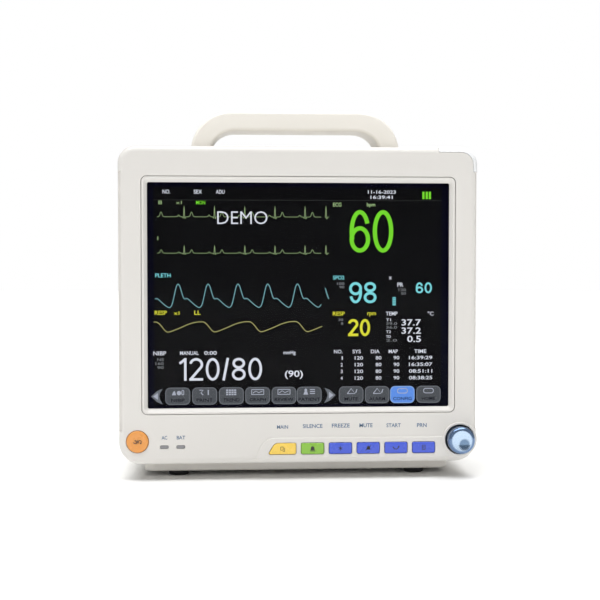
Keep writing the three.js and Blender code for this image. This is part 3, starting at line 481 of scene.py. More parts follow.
# %% Outlines
def rounded_box(x0, x1, z0, z1, low_radius, top_radius=None, steps=10):
    """Rounded rectangle: four quarter circles, counterclockwise from the lower right, as (n, 2) points."""
    top_radius = low_radius if top_radius is None else top_radius
    quarter = np.linspace(0, math.pi / 2, steps + 1)
    corners = [
        (x1 - low_radius, z0 + low_radius, low_radius, -math.pi / 2),
        (x1 - top_radius, z1 - top_radius, top_radius, 0.0),
        (x0 + top_radius, z1 - top_radius, top_radius, math.pi / 2),
        (x0 + low_radius, z0 + low_radius, low_radius, math.pi),
    ]
    return np.concatenate(
        [
            np.c_[cx + r * np.cos(start + quarter), cz + r * np.sin(start + quarter)]
            for cx, cz, r, start in corners
        ]
    )


def circle(x, z, radius, count=64):
    """Points on a circle: centre plus radius times cosine and sine."""
    turn = np.arange(count) * 2 * math.pi / count
    return np.c_[x + radius * np.cos(turn), z + radius * np.sin(turn)]


def inset(outline, distance):
    """Moves each point inwards along the mean of its two edges' normals, so that edges stay parallel."""
    ahead = np.roll(outline, -1, axis=0) - outline
    ahead /= np.linalg.norm(ahead, axis=1, keepdims=True)
    behind = np.roll(ahead, 1, axis=0)
    normal = np.c_[-(ahead + behind)[:, 1], (ahead + behind)[:, 0]]
    normal /= np.maximum((normal**2).sum(1, keepdims=True) / 2, 1e-9)
    return outline + distance * normal


def arc_steps(radius, count=5):
    """Insets and depths of a quarter-round edge: (radius*(1-sin a), radius*(1-cos a)) as a goes to zero."""
    angle = np.linspace(math.pi / 2, 0, count + 1)
    return [(radius * (1 - math.sin(a)), radius * (1 - math.cos(a))) for a in angle]


# %% Skins over outlines
AXES = {"x": (1, 2, 0), "y": (0, 2, 1), "z": (0, 1, 2)}


def stack(layers, axis="y"):
    """Puts (outline, depth) pairs in space: the outline in the plane across the axis, depth along it.

    Across "y" an outline's pair is (x, z), across "x" it is (y, z), and across "z" it is (x, y)."""
    first, second, along = AXES[axis]
    rings = np.zeros((len(layers), len(layers[0][0]), 3))
    for ring, (outline, depth) in zip(rings, layers):
        ring[:, first], ring[:, second], ring[:, along] = outline[:, 0], outline[:, 1], depth
    return rings


def skin(rings, closed=False, caps=True):
    """Points and faces over a stack of rings: a quad between each pair of neighbours, and end faces."""
    rows, count, _ = rings.shape
    index = np.arange(rows * count).reshape(rows, count)
    below = index if closed else index[:-1]
    above = np.roll(index, -1, axis=0) if closed else index[1:]
    quads = np.stack(
        [below, np.roll(below, -1, axis=1), np.roll(above, -1, axis=1), above], axis=-1
    ).reshape(-1, 4)
    faces = quads.tolist()
    if caps and not closed:
        faces += [index[0][::-1].tolist(), index[-1].tolist()]
    return rings.reshape(-1, 3), faces


def lathe(profile, at, axis="y", count=64):
    """A turned shape: each (radius, height) point of the profile goes round the axis.

    Where the radius is zero the ring is one point, so the skin is closed there."""
    first, second, along = AXES[axis]
    turn = np.arange(count) * 2 * math.pi / count
    points, rows = [], []
    for radius, height in profile:
        size = 1 if radius == 0 else count
        rows.append(np.arange(size) + sum(len(r) for r in rows))
        ring = np.zeros((size, 3))
        ring[:, first] = at[0] + radius * np.cos(turn[:size])
        ring[:, second] = at[1] + radius * np.sin(turn[:size])
        ring[:, along] = height
        points.append(ring)
    faces = []
    for one, two in zip(rows, rows[1:]):
        if len(one) == 1 and len(two) == 1:
            continue
        if len(one) == 1:
            faces += np.c_[np.full(count, one[0]), two, np.roll(two, -1)].tolist()
        elif len(two) == 1:
            faces += np.c_[one, np.roll(one, -1), np.full(count, two[0])].tolist()
        else:
            faces += np.c_[one, np.roll(one, -1), np.roll(two, -1), two].tolist()
    return np.concatenate(points), faces


def rod(radius, low, high, at, axis="y", count=64):
    """A plain round bar between two heights on the axis."""
    return lathe([(0, low), (radius, low), (radius, high), (0, high)], at, axis, count)


def together(*shapes):
    """Several (points, faces) shapes as one: later faces count on from the earlier points."""
    points = np.concatenate([p for p, _ in shapes])
    faces, start = [], 0
    for p, f in shapes:
        faces += [[i + start for i in face] for face in f]
        start += len(p)
    return points, faces


def block(x0, x1, y0, y1, z0, z1, radius=0.0, steps=4, edge=0.0, axis="y"):
    """A solid bar whose outline across the axis has rounded corners, with rounded rims at both ends."""
    spans = {"y": (x0, x1, z0, z1, y0, y1), "x": (y0, y1, z0, z1, x0, x1), "z": (x0, x1, y0, y1, z0, z1)}
    a0, a1, b0, b1, low, high = spans[axis]
    outline = rounded_box(a0, a1, b0, b1, max(radius, 0.01), steps=steps)
    layers = [(outline, low), (outline, high)]
    if edge:
        front = [(inset(outline, i), low + d) for i, d in arc_steps(edge, 3)]
        layers = front[::-1] + [(inset(outline, i), high - d) for i, d in arc_steps(edge, 3)]
    return skin(stack(layers, axis))


# %% From arrays to a finished piece
def mesh_object(name, shape):
    """A mesh object from points in millimetres and faces, with doubles merged and faces turned outwards."""
    points, faces = shape
    mesh = bpy.data.meshes.new(name)
    mesh.from_pydata((np.asarray(points) * MM).tolist(), [], faces)
    built = bmesh.new()
    built.from_mesh(mesh)
    bmesh.ops.remove_doubles(built, verts=built.verts, dist=2e-6)
    bmesh.ops.recalc_face_normals(built, faces=built.faces)
    built.to_mesh(mesh)
    built.free()
    made = bpy.data.objects.new(name, mesh)
    scene.collection.objects.link(made)
    return made


def discard(made):
    """Removes an object and its mesh."""
    spare = made.data
    bpy.data.objects.remove(made)
    bpy.data.meshes.remove(spare)


def mesh_arrays(mesh):
    """A mesh's points as rows, in its own unit, and its faces."""
    points = np.zeros(len(mesh.vertices) * 3)
    mesh.vertices.foreach_get("co", points)
    return points.reshape(-1, 3), [list(p.vertices) for p in mesh.polygons]


def apply_all(made):
    """Replaces a piece's mesh by what its modifiers make of it."""
    bpy.context.view_layer.update()
    graph = bpy.context.evaluated_depsgraph_get()
    solved = bpy.data.meshes.new_from_object(made.evaluated_get(graph))
    made.modifiers.clear()
    old = made.data
    made.data = solved
    bpy.data.meshes.remove(old)


def carve(made, shape, operation="DIFFERENCE"):
    """Cuts a shape out of a piece, adds it on, or keeps what they share."""
    tool = mesh_object("tool", shape)
    change = made.modifiers.new("carve", "BOOLEAN")
    change.operation = operation
    change.solver = "EXACT"
    change.object = tool
    apply_all(made)
    discard(tool)


def carve_with(made, other):
    """Cuts a finished object out of a piece, and removes that object."""
    points, faces = mesh_arrays(other.data)
    carve(made, (points / MM, faces))
    discard(other)


def soften(made, width, segments=2, angle=40):
    """Rounds the sharp edges, as a mould or a polishing cloth does."""
    edge = made.modifiers.new("soften", "BEVEL")
    edge.width = width * MM
    edge.segments = segments
    edge.limit_method = "ANGLE"
    edge.angle_limit = math.radians(angle)
    edge.use_clamp_overlap = True
    apply_all(made)


made_pieces = []


def place(made, material, body="monitor", instead_of=(), smooth=32):
    """Gives a piece its finish, its body and the solids that it stands for."""
    made.data.materials.clear()
    made.data.materials.append(material)
    made.data.polygons.foreach_set("use_smooth", np.ones(len(made.data.polygons), bool))
    made.data.set_sharp_from_angle(angle=math.radians(smooth))
    flatten = made.modifiers.new("flat_faces_stay_flat", "WEIGHTED_NORMAL")
    flatten.keep_sharp = True
    flatten.weight = 100
    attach(made, body)
    if instead_of:
        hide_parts(*instead_of)
    made_pieces.append(made)
    return made


print("helpers ready")

# %% [markdown]
# ## Front bezel
#
# The bezel is one thin shell. Its skin runs from the back edge of the side wall, round a 6 mm front
# edge, across the flat face, over a small round into the window, and back along the inside. The
# window's outline has as many points as the outer one, so one stack of rings makes all of it. The
# openings for keys, knob, lamps and lens are then cut, and the raised strip and the knob's ring added.

# %% Bezel skin
OUTER = rounded_box(-154, 154, 14, 285, 19, 15, steps=16)
WINDOW = rounded_box(-134.4, 134.4, 56.7, 259.4, 5, steps=16)
BEZEL_BACK = -37.0
BEZEL_EDGE = 6.0
WALL = 3.0
front_edge = [(inset(OUTER, i), FACE_Y + d) for i, d in arc_steps(BEZEL_EDGE, 8)]
bezel_layers = (
    [(OUTER, BEZEL_BACK)]
    + front_edge
    + [(inset(WINDOW, -0.5), FACE_Y), (inset(WINDOW, -0.15), FACE_Y + 0.15), (WINDOW, FACE_Y + 0.5)]
    + [(WINDOW, FACE_Y + WALL), (inset(OUTER, WALL), FACE_Y + WALL), (inset(OUTER, WALL), BEZEL_BACK)]
)
bezel = mesh_object("bezel_shell", skin(stack(bezel_layers), closed=True))
print("bezel skin:", len(bezel.data.vertices), "points")

# %% Strip, ring and openings
key_low, key_high = span("key_print")
KEY_Z = (key_low[2] + key_high[2]) / 2
KEY_HALF = (9.75, 4.7)
KEY_X = {
    name: float(centre(f"key_{name}")[0])
    for name in ("print", "start", "mute", "freeze", "silence")
}
MAIN_KEY_X = -13.0
POWER_X, POWER_Z = -138.0, 34.0
STRIP_LOW, STRIP_HIGH = 18.2, 36.3


def curved_corner(start, bend, end, count=10):
    """A quadratic curve: (1-t)^2 start + 2t(1-t) bend + t^2 end."""
    t = np.linspace(0, 1, count)[:, None]
    return (1 - t) ** 2 * np.array(start) + 2 * t * (1 - t) * np.array(bend) + t**2 * np.array(end)


strip_outline = np.concatenate(
    [
        [(-38.0, STRIP_LOW), (KNOB_X, STRIP_LOW), (KNOB_X, STRIP_HIGH)],
        curved_corner((-21.0, STRIP_HIGH), (-30.0, STRIP_HIGH), (-34.0, STRIP_HIGH - 8.5)),
    ]
)
strip_layers = [(inset(strip_outline, i), FACE_Y - 1.2 + d) for i, d in arc_steps(0.9, 4)][::-1]
carve(bezel, skin(stack(strip_layers + [(strip_outline, FACE_Y + 1)])), "UNION")
ring_profile = [(0, FACE_Y + 1), (15, FACE_Y + 1), (15, FACE_Y - 1.2)]
ring_profile += [(15 - i, FACE_Y - 2.2 + d) for i, d in arc_steps(1.0, 5)]
ring_profile += [(0, FACE_Y - 2.2)]
carve(bezel, lathe(ring_profile, (KNOB_X, KNOB_Z)), "UNION")


def key_outline(x, grow=0.0):
    """A key's face: a small rectangle with 1.4 mm corners, widened all round by grow."""
    return rounded_box(
        x - KEY_HALF[0] - grow,
        x + KEY_HALF[0] + grow,
        KEY_Z - KEY_HALF[1] - grow,
        KEY_Z + KEY_HALF[1] + grow,
        1.4 + grow,
        steps=6,
    )


def main_key_outline(grow=0.0):
    """The main key's face: round right corners, a slanted left end with a round shoulder."""
    low, high = KEY_Z - KEY_HALF[1], KEY_Z + KEY_HALF[1]
    right, left = MAIN_KEY_X + KEY_HALF[0], MAIN_KEY_X - KEY_HALF[0] - 3.7
    quarter = np.linspace(0, math.pi / 2, 7)
    lower = np.c_[right - 1.4 + 1.4 * np.sin(quarter), low + 1.4 - 1.4 * np.cos(quarter)]
    upper = np.c_[right - 1.4 + 1.4 * np.cos(quarter), high - 1.4 + 1.4 * np.sin(quarter)]
    shoulder = curved_corner((left + 8.4, high), (left + 5.0, high), (left + 3.4, high - 2.9), 8)
    toe = curved_corner((left + 0.4, low + 1.4), (left, low + 0.2), (left + 1.0, low), 5)
    return inset(np.concatenate([lower, upper, shoulder, toe]), -grow)


def bar(outline, low, high, axis="y"):
    """A plain solid: an outline carried straight along an axis."""
    return skin(stack([(outline, low), (outline, high)], axis))


def opening(outline, behind=4):
    """A cutter through the bezel's face."""
    return bar(outline, FACE_Y - 4, FACE_Y + behind)


INDICATORS = ("ac_indicator_window", "battery_indicator_window")
openings = [opening(key_outline(x, 0.45)) for x in KEY_X.values()] + [opening(main_key_outline(0.45))]
for node in INDICATORS:
    low, high = span(node)
    openings.append(
        opening(rounded_box(low[0] - 0.2, high[0] + 0.2, low[2] - 0.2, high[2] + 0.2, 1.3, steps=6))
    )
openings += [opening(circle(POWER_X, POWER_Z, 9.8)), opening(circle(KNOB_X, KNOB_Z, 13.0), 5)]
carve(bezel, together(*openings))
STEP_IN, STEP_LOW, STEP_HIGH = 151.3, 42.0, 263.6
side_steps = [
    block(x0, x1, FACE_Y - 2, FACE_Y + 8, STEP_LOW, STEP_HIGH)
    for x0, x1 in ((STEP_IN, 160), (-160, -STEP_IN))
]
carve(bezel, together(*side_steps))
LENS_LEFT, LENS_BOTTOM, LENS_THICK = 120.0, 264.0, 4.2
corner = mesh_object("corner", block(119.7, 165, -70, -29, 263.7, 295))
carve(corner, bar(inset(OUTER, LENS_THICK + 0.3), -72, -27))
carve_with(bezel, corner)
place(bezel, CASING, instead_of=["front_bezel"])
print("bezel:", len(bezel.data.polygons), "faces")

# %% [markdown]
# ## Alarm lens
#
# The lens is a milky band that wraps the upper right corner, so that its light is seen from the front,
# the top and the side. It is one section, 4.2 mm deep with the bezel's round edge, carried along the
# part of the outline that it covers.

# %% Lens
from_top = OUTER[(OUTER[:, 0] >= 138) & (OUTER[:, 1] >= 269)]
lens_path = np.concatenate([[(154.0, LENS_BOTTOM)], from_top, [(LENS_LEFT, 285.0)]])
path_ahead = np.gradient(lens_path, axis=0)
path_ahead /= np.linalg.norm(path_ahead, axis=1, keepdims=True)
path_in = np.c_[-path_ahead[:, 1], path_ahead[:, 0]]
path_in[0], path_in[-1] = (-1, 0), (0, -1)
edge_depth = BEZEL_EDGE - math.sqrt(BEZEL_EDGE**2 - (BEZEL_EDGE - LENS_THICK) ** 2)
lens_section = [(0.0, BEZEL_BACK + 0.4), (0.0, FACE_Y + BEZEL_EDGE)]
lens_section += [
    (i, FACE_Y + d) for i, d in arc_steps(BEZEL_EDGE, 12) if 0 < i < LENS_THICK - 0.2
]
lens_section += [(LENS_THICK - 0.2, FACE_Y + edge_depth + 0.05), (LENS_THICK, FACE_Y + edge_depth + 0.3)]
lens_section += [(LENS_THICK, BEZEL_BACK), (0.4, BEZEL_BACK)]
lens_rings = np.zeros((len(lens_path), len(lens_section), 3))
for k, (depth, y) in enumerate(lens_section):
    lens_rings[:, k, 0] = lens_path[:, 0] + depth * path_in[:, 0]
    lens_rings[:, k, 2] = lens_path[:, 1] + depth * path_in[:, 1]
    lens_rings[:, k, 1] = y
LENS = finish("milky_lens", (0.86, 0.87, 0.88), rough=0.22, depth=0.01, tone=0.05, coat=0.5, dust=0.1)
principled(LENS).inputs["Subsurface Weight"].default_value = 0.3
principled(LENS).inputs["Subsurface Radius"].default_value = (0.01, 0.01, 0.01)
lens = mesh_object("lens_band", skin(lens_rings))
place(lens, LENS, instead_of=["alarm_lens"])
print("lens:", len(lens.data.polygons), "faces")

# %% [markdown]
# ## Display frame, cover and panel
#
# The frame is a separate moulding that drops 3 mm inwards to the screen, and its thin outer gap reads
# as a dark line round it. The cover is a clear sheet over a black panel with a dark blue margin.

# %% Frame
APERTURE = rounded_box(-129.3, 129.3, 61.7, 254.1, 1.5, steps=16)
POCKET = rounded_box(-133.6, 133.6, 57.4, 258.4, 2.0, steps=16)
FLANGE = rounded_box(-139, 139, 52.4, 263.7, 4.0, steps=16)
RIM = inset(WINDOW, 0.45)
frame_layers = [
    (FLANGE, -60.7),
    (RIM, -60.7),
    (RIM, -63.4),
    (inset(RIM, 0.15), -63.75),
    (inset(RIM, 0.5), -63.9),
    (inset(APERTURE, -3.0), -63.9),
    (inset(APERTURE, -2.6), -63.7),
    (inset(APERTURE, -0.35), -61.4),
    (inset(APERTURE, -0.05), -61.0),
    (APERTURE, -60.6),
    (APERTURE, -60.0),
    (POCKET, -60.0),
    (POCKET, -46.0),
    (FLANGE, -46.0),
]
display_frame = mesh_object("display_surround", skin(stack(frame_layers), closed=True))
place(display_frame, FRAME_PLASTIC, instead_of=["display_frame"], smooth=25)

# %% Panel and cover
SCREEN_LOOK = {"depth": 0, "dust": 0.0}
PANEL_BLACK = finish(
    "panel_black", (0.0055, 0.0055, 0.006), rough=0.25, tone=0.15, touch=0.05, specular=0.04, **SCREEN_LOOK
)
MARGIN_BLUE = finish(
    "margin_blue", (0.0009, 0.0008, 0.011), rough=0.3, tone=0.2, touch=0.05, specular=0.04, **SCREEN_LOOK
)
COVER_GLASS = finish(
    "cover_glass", (0.004, 0.004, 0.006), rough=0.03, tone=0.1, touch=0.06, specular=0.1, **SCREEN_LOOK
)
principled(COVER_GLASS).inputs["Alpha"].default_value = 0.14
glass_low, glass_high = span("screen_cover")
panel_low, panel_high = span("lcd_panel")
cover_outline = inset(POCKET, 0.3)
cover_layers = [(inset(cover_outline, i), glass_low[1] + d) for i, d in arc_steps(0.3, 2)][::-1]
cover = mesh_object("cover_sheet", skin(stack(cover_layers + [(cover_outline, glass_high[1])])))
place(cover, COVER_GLASS, instead_of=["screen_cover"])
panel_outline = inset(POCKET, 0.6)
panel_layers = [(inset(panel_outline, i), panel_low[1] + 0.2 + d) for i, d in arc_steps(0.5, 2)][::-1]
panel = mesh_object(
    "display_module", skin(stack(panel_layers + [(panel_outline, panel_high[1])]))
)
place(panel, PANEL_BLACK, instead_of=["lcd_panel"])
print("display:", len(display_frame.data.polygons), "faces in the frame")

# %% [markdown]
# ## What the display shows
#
# The picture is made of thin lit marks under the cover: text, curves and soft keys. The letters come
# from Blender's own font, and each word is stretched to the box that it fills, so that narrow display
# figures can be had from an ordinary typeface. The curves are flat ribbons along a function of time.
# Places are measured from the lower left corner of the visible screen.

# %% Drawing on the screen
SCREEN_LEFT, SCREEN_BOTTOM = -129.3, 61.7
PICTURE_Y = float(glass_high[1]) + 0.12
PICTURE_DEPTH = 0.12
picture = {}


def lettering(text, thick=PICTURE_DEPTH, fine=3, bold=0.0):
    """A word as points and faces with its lower left corner at zero, flat in x and z, thick in y."""
    curve = bpy.data.curves.new("word", "FONT")
    curve.body = text
    curve.resolution_u = fine
    curve.offset = bold
    holder = bpy.data.objects.new("word", curve)
    scene.collection.objects.link(holder)
    bpy.context.view_layer.update()
    mesh = bpy.data.meshes.new_from_object(
        holder.evaluated_get(bpy.context.evaluated_depsgraph_get())
    )
    flat, faces = mesh_arrays(mesh)
    bpy.data.objects.remove(holder)
    bpy.data.curves.remove(curve)
    bpy.data.meshes.remove(mesh)
    return thicken(flat[:, :2], faces, thick)


def thicken(flat, faces, thick):
    """A flat drawing made solid: a front copy, a back copy, and a wall along each free edge."""
    keys, index = np.unique(np.round(flat, 6), axis=0, return_inverse=True)
    index = index.ravel()
    merged = []
    for face in faces:
        ring = [int(index[i]) for i in face]
        ring = [v for k, v in enumerate(ring) if v != ring[k - 1]]
        if len(set(ring)) > 2:
            merged.append(ring)
    count = len(keys)
    front = np.c_[keys[:, 0], np.zeros(count), keys[:, 1]]
    back = front + np.array([0, thick, 0])
    edges = {}
    for face in merged:
        for a, b in zip(face, face[1:] + face[:1]):
            edges[(a, b)] = edges.get((a, b), 0) + 1
    rim = [(a, b) for a, b in edges if (b, a) not in edges]
    walls = [[b, a, a + count, b + count] for a, b in rim]
    return np.concatenate([front, back]), merged + [[v + count for v in f[::-1]] for f in merged] + walls


def fitted(shape, left, bottom, right, top):
    """Stretches a drawing in x and z so that it fills the given box exactly."""
    points, faces = shape
    low, high = points.min(0), points.max(0)
    size = np.maximum(high - low, 1e-9)
    points = points.copy()
    points[:, 0] = left + (points[:, 0] - low[0]) / size[0] * (right - left)
    points[:, 2] = bottom + (points[:, 2] - low[2]) / size[2] * (top - bottom)
    return points, faces


def on_screen(shape, ink, lift=0.0):
    """Adds a drawing, placed from the screen's lower left corner, to the marks of one colour."""
    points, faces = shape
    picture.setdefault(ink, []).append(
        (points + np.array([SCREEN_LEFT, PICTURE_Y - lift, SCREEN_BOTTOM]), faces)
    )


def write(text, left, bottom, right, top, ink="white", lift=0.0, bold=0.014):
    """A word on the screen, filling a box."""
    on_screen(fitted(lettering(text, bold=bold), left, bottom, right, top), ink, lift)


def ribbon(path, width, thick=PICTURE_DEPTH):
    """A line of even width along a path: each point moved both ways along the path's normal."""
    path = np.asarray(path, float)
    ahead = np.gradient(path, axis=0)
    ahead /= np.maximum(np.linalg.norm(ahead, axis=1, keepdims=True), 1e-9)
    side = np.c_[-ahead[:, 1], ahead[:, 0]] * width / 2
    flat = np.concatenate([path - side, path + side])
    n = len(path)
    faces = [[i, i + 1, i + 1 + n, i + n] for i in range(n - 1)]
    return thicken(flat, faces, thick)


def plate(outline, thick=PICTURE_DEPTH):
    """A filled flat shape."""
    return thicken(np.asarray(outline, float), [list(range(len(outline)))], thick)


def bell(s, at, width, height):
    """A smooth bump: height times exp(-((s - at) / width)^2)."""
    return height * np.exp(-(((s - at) / width) ** 2))


# %% Tall figures
def arc_path(cx, cz, rx, rz, start, end, count=44):
    """Points on an ellipse from one angle to another: (cx + rx cos a, cz + rz sin a), in degrees."""
    angle = np.radians(np.linspace(start, end, count))
    return np.c_[cx + rx * np.cos(angle), cz + rz * np.sin(angle)]


def figure_paths(kind, x, z, w, h, t):
    """The middle lines of one figure's strokes of width t, in a box w wide and h high."""
    cx, cz, rx = x + w / 2, z + h / 2, (w - t) / 2
    if kind == "0":
        return [arc_path(cx, cz, rx, (h - t) / 2, 0, 368, 60)]
    if kind in "69":
        paths = [arc_path(cx, cz, rx, (h - t) / 2, 24, 205)]
        paths += [arc_path(cx, z + 0.31 * h, rx, 0.31 * h - t / 2, 0, 368)]
        return paths if kind == "6" else [2 * np.array([cx, cz]) - path for path in paths]
    if kind == "8":
        lower = arc_path(cx, z + 0.27 * h, rx, 0.27 * h - t / 2, 0, 368)
        return [lower, arc_path(cx, z + 0.76 * h, 0.9 * rx, 0.24 * h - t / 2, 0, 368)]
    if kind == "2":
        top = arc_path(cx, z + 0.71 * h, rx, 0.29 * h - t / 2, 170, -28)
        slope = np.linspace(top[-1], (x + t / 2, z + t / 2), 6)
        return [np.concatenate([top, slope[1:]]), [(x, z + t / 2), (x + w, z + t / 2)]]
    if kind == "1":
        stem = x + w - t / 2
        return [[(stem, z), (stem, z + h)], [(x, z + 0.76 * h), (stem, z + h - 0.4 * t)]]
    return [[(x + t / 2, z), (x + w - t / 2, z + h)]]


def write_tall(text, left, bottom, right, top, ink, weight, gap=0.14):
    """Tall even-stroked figures side by side; a 1 or a slash takes half the width of the others."""
    shares = [0.5 if kind in "1/" else 1.0 for kind in text]
    unit = (right - left) / (sum(shares) + gap * (len(text) - 1))
    x = left
    for kind, share in zip(text, shares):
        for path in figure_paths(kind, x, bottom, unit * share, top - bottom, weight):
            on_screen(ribbon(path, weight), ink)
        x += unit * (share + gap)


# %% Curves
def heart_curve(s, base, peak, first=31.2, period=25.8):
    """A heartbeat trace: a small bump, a sharp spike with a dip, then a broad bump, once a period."""
    beat = (s - first + period / 2) % period - period / 2
    wave = bell(beat, -4.6, 0.9, 0.16 * peak) + bell(beat, 0, 0.33, peak)
    wave += bell(beat, 0.75, 0.35, -0.2 * peak)
    wave += bell(beat, -0.8, 0.4, -0.14 * peak) + bell(beat, 6.3, 1.15, 0.42 * peak)
    wave += bell(beat, 6.3 - period, 1.15, 0.42 * peak) + bell(beat, period - 4.6, 0.9, 0.16 * peak)
    return base + wave


def pulse_curve(s, low, high, first=25.9, period=25.5):
    """An oxygen pulse trace: a quick rise, a fall to a notch, a small shoulder, then a slow fall."""
    knots_at = np.array([-7.0, -5.2, -3.4, -1.6, 0.0, 1.6, 3.2, 4.6, 5.6, 6.8, 8.4, 11.5, 14.5, 17.0, 18.5])
    knots = np.array([0.0, 0.1, 0.47, 0.88, 1.0, 0.88, 0.6, 0.39, 0.34, 0.38, 0.37, 0.22, 0.09, 0.01, 0.0])
    beat = (s - first + 7.0) % period - 7.0
    return low + (high - low) * np.interp(beat, knots_at, knots)


def breath_curve(s, low, high, first=16.2, period=39.8):
    """A breathing trace: a slow rise to a flat top and a steeper fall."""
    knots_at = np.array([0, 2.5, 6, 12, 18, 22.5, 26.5, 32, 34.5, 37, 38.6, 39.8])
    knots = np.array([0, 0.03, 0.18, 0.45, 0.76, 0.92, 1.0, 1.0, 0.72, 0.33, 0.1, 0.0])
    return low + (high - low) * np.interp((s - first) % period, knots_at, knots)


def soften_line(values, count=5):
    """Running mean over count samples, with the ends held."""
    padded = np.pad(values, count // 2, mode="edge")
    return np.convolve(padded, np.ones(count) / count, mode="valid")


time_line = np.arange(8.2, 148.4, 0.2)
last_part = np.arange(151.8, 155.2, 0.15)
for base, peak in ((163.3, 9.6), (132.3, 7.0)):
    for s, ahead in ((time_line, 0.0), (last_part, 7.8)):
        on_screen(ribbon(np.c_[s, heart_curve(s + ahead, base, peak)], 0.46), "trace_green")
pulse_line = np.arange(6.2, 148.4, 0.3)
on_screen(ribbon(np.c_[pulse_line, soften_line(pulse_curve(pulse_line, 85.9, 106.5))], 0.6), "trace_cyan")
on_screen(
    ribbon(np.c_[last_part, soften_line(pulse_curve(last_part + 3.6, 85.9, 106.5))], 0.75), "trace_cyan"
)
breath_line = np.arange(5.2, 149.4, 0.4)
on_screen(
    ribbon(np.c_[breath_line, soften_line(breath_curve(breath_line, 64.9, 73.7), 9)], 0.6), "trace_yellow"
)
on_screen(ribbon([(5.0, 177.6), (130.0, 177.6), (252.5, 177.6)], 0.28), "faint")
print("curves drawn")

# %% Words and figures
for word, left, right in (("NO.", 13, 19.5), ("SEX", 39.4, 46.4), ("ADU", 58.2, 65.6)):
    write(word, left, 182.9, right, 186.3)
write("II", 9.6, 173.8, 12.2, 177, "pale_green")
write("x1", 24.3, 174, 29.3, 176.8, "trace_green")
write("MON", 41.4, 173.8, 49.1, 177, "green")
write("I", 8.6, 143.3, 9.2, 146.6, "pale_green")
write("DEMO", 59.3, 157.1, 102.2, 168.1, lift=0.05, bold=-0.008)
write("PLETH", 6.6, 111.7, 19.6, 115.1, "cyan")
write("RESP", 6, 79.8, 16.3, 83.4, "yellow")
write("x1", 22.2, 79.8, 27, 82.8, "yellow")
write("LL", 39.6, 79.8, 44.9, 83.4, "yellow")
write("NIBP", 4.7, 45.2, 15.6, 48.7)
for word, bottom in (("NS", 40.3), ("160", 36.9), ("90", 33.5)):
    write(word, 6.5 + 1.5 * (len(word) < 3), bottom, 13.5, bottom + 2.5, "dim")
write("MANUAL", 27.4, 45.4, 43.2, 48.7)
write("0:00", 48, 45.4, 58.6, 48.7)
write_tall("120/80", 27, 23.4, 97.4, 42.7, "white", 2.1, 0.2)
write("mmHg", 115.8, 44.6, 126.2, 48.6)
write("(90)", 117, 24.2, 132.6, 31.6)
write("11-16-2023", 188.6, 183.4, 212.7, 186.4)
write("16:39:41", 190.8, 178.9, 210, 181.9)
for left in (235.8, 238.7, 241.4):
    on_screen(plate([(left, 179), (left + 1.9, 179), (left + 1.9, 185.3), (left, 185.3)]), "green")
write("ECG", 158.5, 172.3, 165.7, 175.7, "pale_green")
write("bpm", 187.7, 171.6, 194.9, 175.7, "pale_green")
write_tall("60", 172.8, 132.9, 210.6, 169.4, "green", 3.6, 0.13)
write("SPO2", 158.5, 109.7, 168.3, 113.1, "cyan")
write("100", 162, 105, 168.3, 107.4, "dim")
write("90", 164, 102, 168.3, 104.4, "dim")
write_tall("98", 172.5, 89.3, 196.2, 107.5, "cyan", 2.3)
write("x", 206.9, 109.7, 209.4, 112.2)
write("PR", 214.3, 103.3, 219.5, 107)
write("120", 215.3, 99.6, 221.8, 102, "dim")
write("50", 217.5, 96.4, 221.8, 98.8, "dim")
write_tall("60", 230.4, 97.8, 244.4, 107.2, "cyan", 1.5, 0.2)
for k in range(5):
    low = 87.4 + 1.5 * k
    on_screen(plate([(210.1, low), (213, low), (213, low + 1.0), (210.1, low + 1.0)]), "cyan")
write("RESP", 158.4, 78.6, 168.7, 82.1, "yellow")
write("30", 163.2, 73.9, 167.4, 76.2, "dim")
write("8", 165.4, 70.7, 167.4, 72.9, "dim")
write("rpm", 188.3, 77.8, 195.7, 81.4, "yellow")
write_tall("20", 171.6, 60.9, 190.7, 75.6, "yellow", 2.2, 0.16)
write("TEMP", 204.4, 78.6, 214.5, 81.9)
write("°C", 240.8, 78.4, 246, 82)
for word, bottom, ink in (
    ("T1", 73.7, "white"),
    ("39.0", 70.5, "dim"),
    ("36.0", 67.2, "dim"),
    ("T2", 63.4, "white"),
    ("TD", 59.2, "white"),
    ("2.0", 56.0, "dim"),
):
    write(word, 204.6, bottom, 208.8 if len(word) == 2 else 214.2, bottom + 2.3, ink)
for word, left, bottom in (("37.7", 218, 69.8), ("37.2", 218, 62.7), ("0.5", 223, 55.5)):
    write(word, left, bottom, 235, bottom + 5.5)
TABLE_HEADS = (("NO.", 159.4, 166.8), ("SYS", 175.5, 182.7), ("DIA", 191.4, 199), ("MAP", 206.9, 214.8))
for word, left, right in (*TABLE_HEADS, ("TIME", 229.2, 239.7)):
    write(word, left, 46, right, 49.2)
TIMES = ("16:39:29", "16:35:07", "08:51:11", "08:38:25")
for row, clock in enumerate(TIMES):
    bottom = 40.5 - 5.8 * row
    for word, left, right in (
        (str(row + 1), 165.2 + (0.9 if row == 0 else 0), 167),
        ("120", 177.4, 184.6),
        ("80", 195.6, 200.6),
        ("90", 211.2, 216.2),
        (clock, 224.6, 245),
    ):
        write(word, left, bottom, right, bottom + 3.1)
print("words written:", sum(len(v) for v in picture.values()))

# %% [markdown]
# ### Soft keys
#
# A row of grey soft keys runs along the foot of the picture. Each is a rounded plate with a paler rim
# behind it, a small sign and a short caption, and one of them is lit blue.

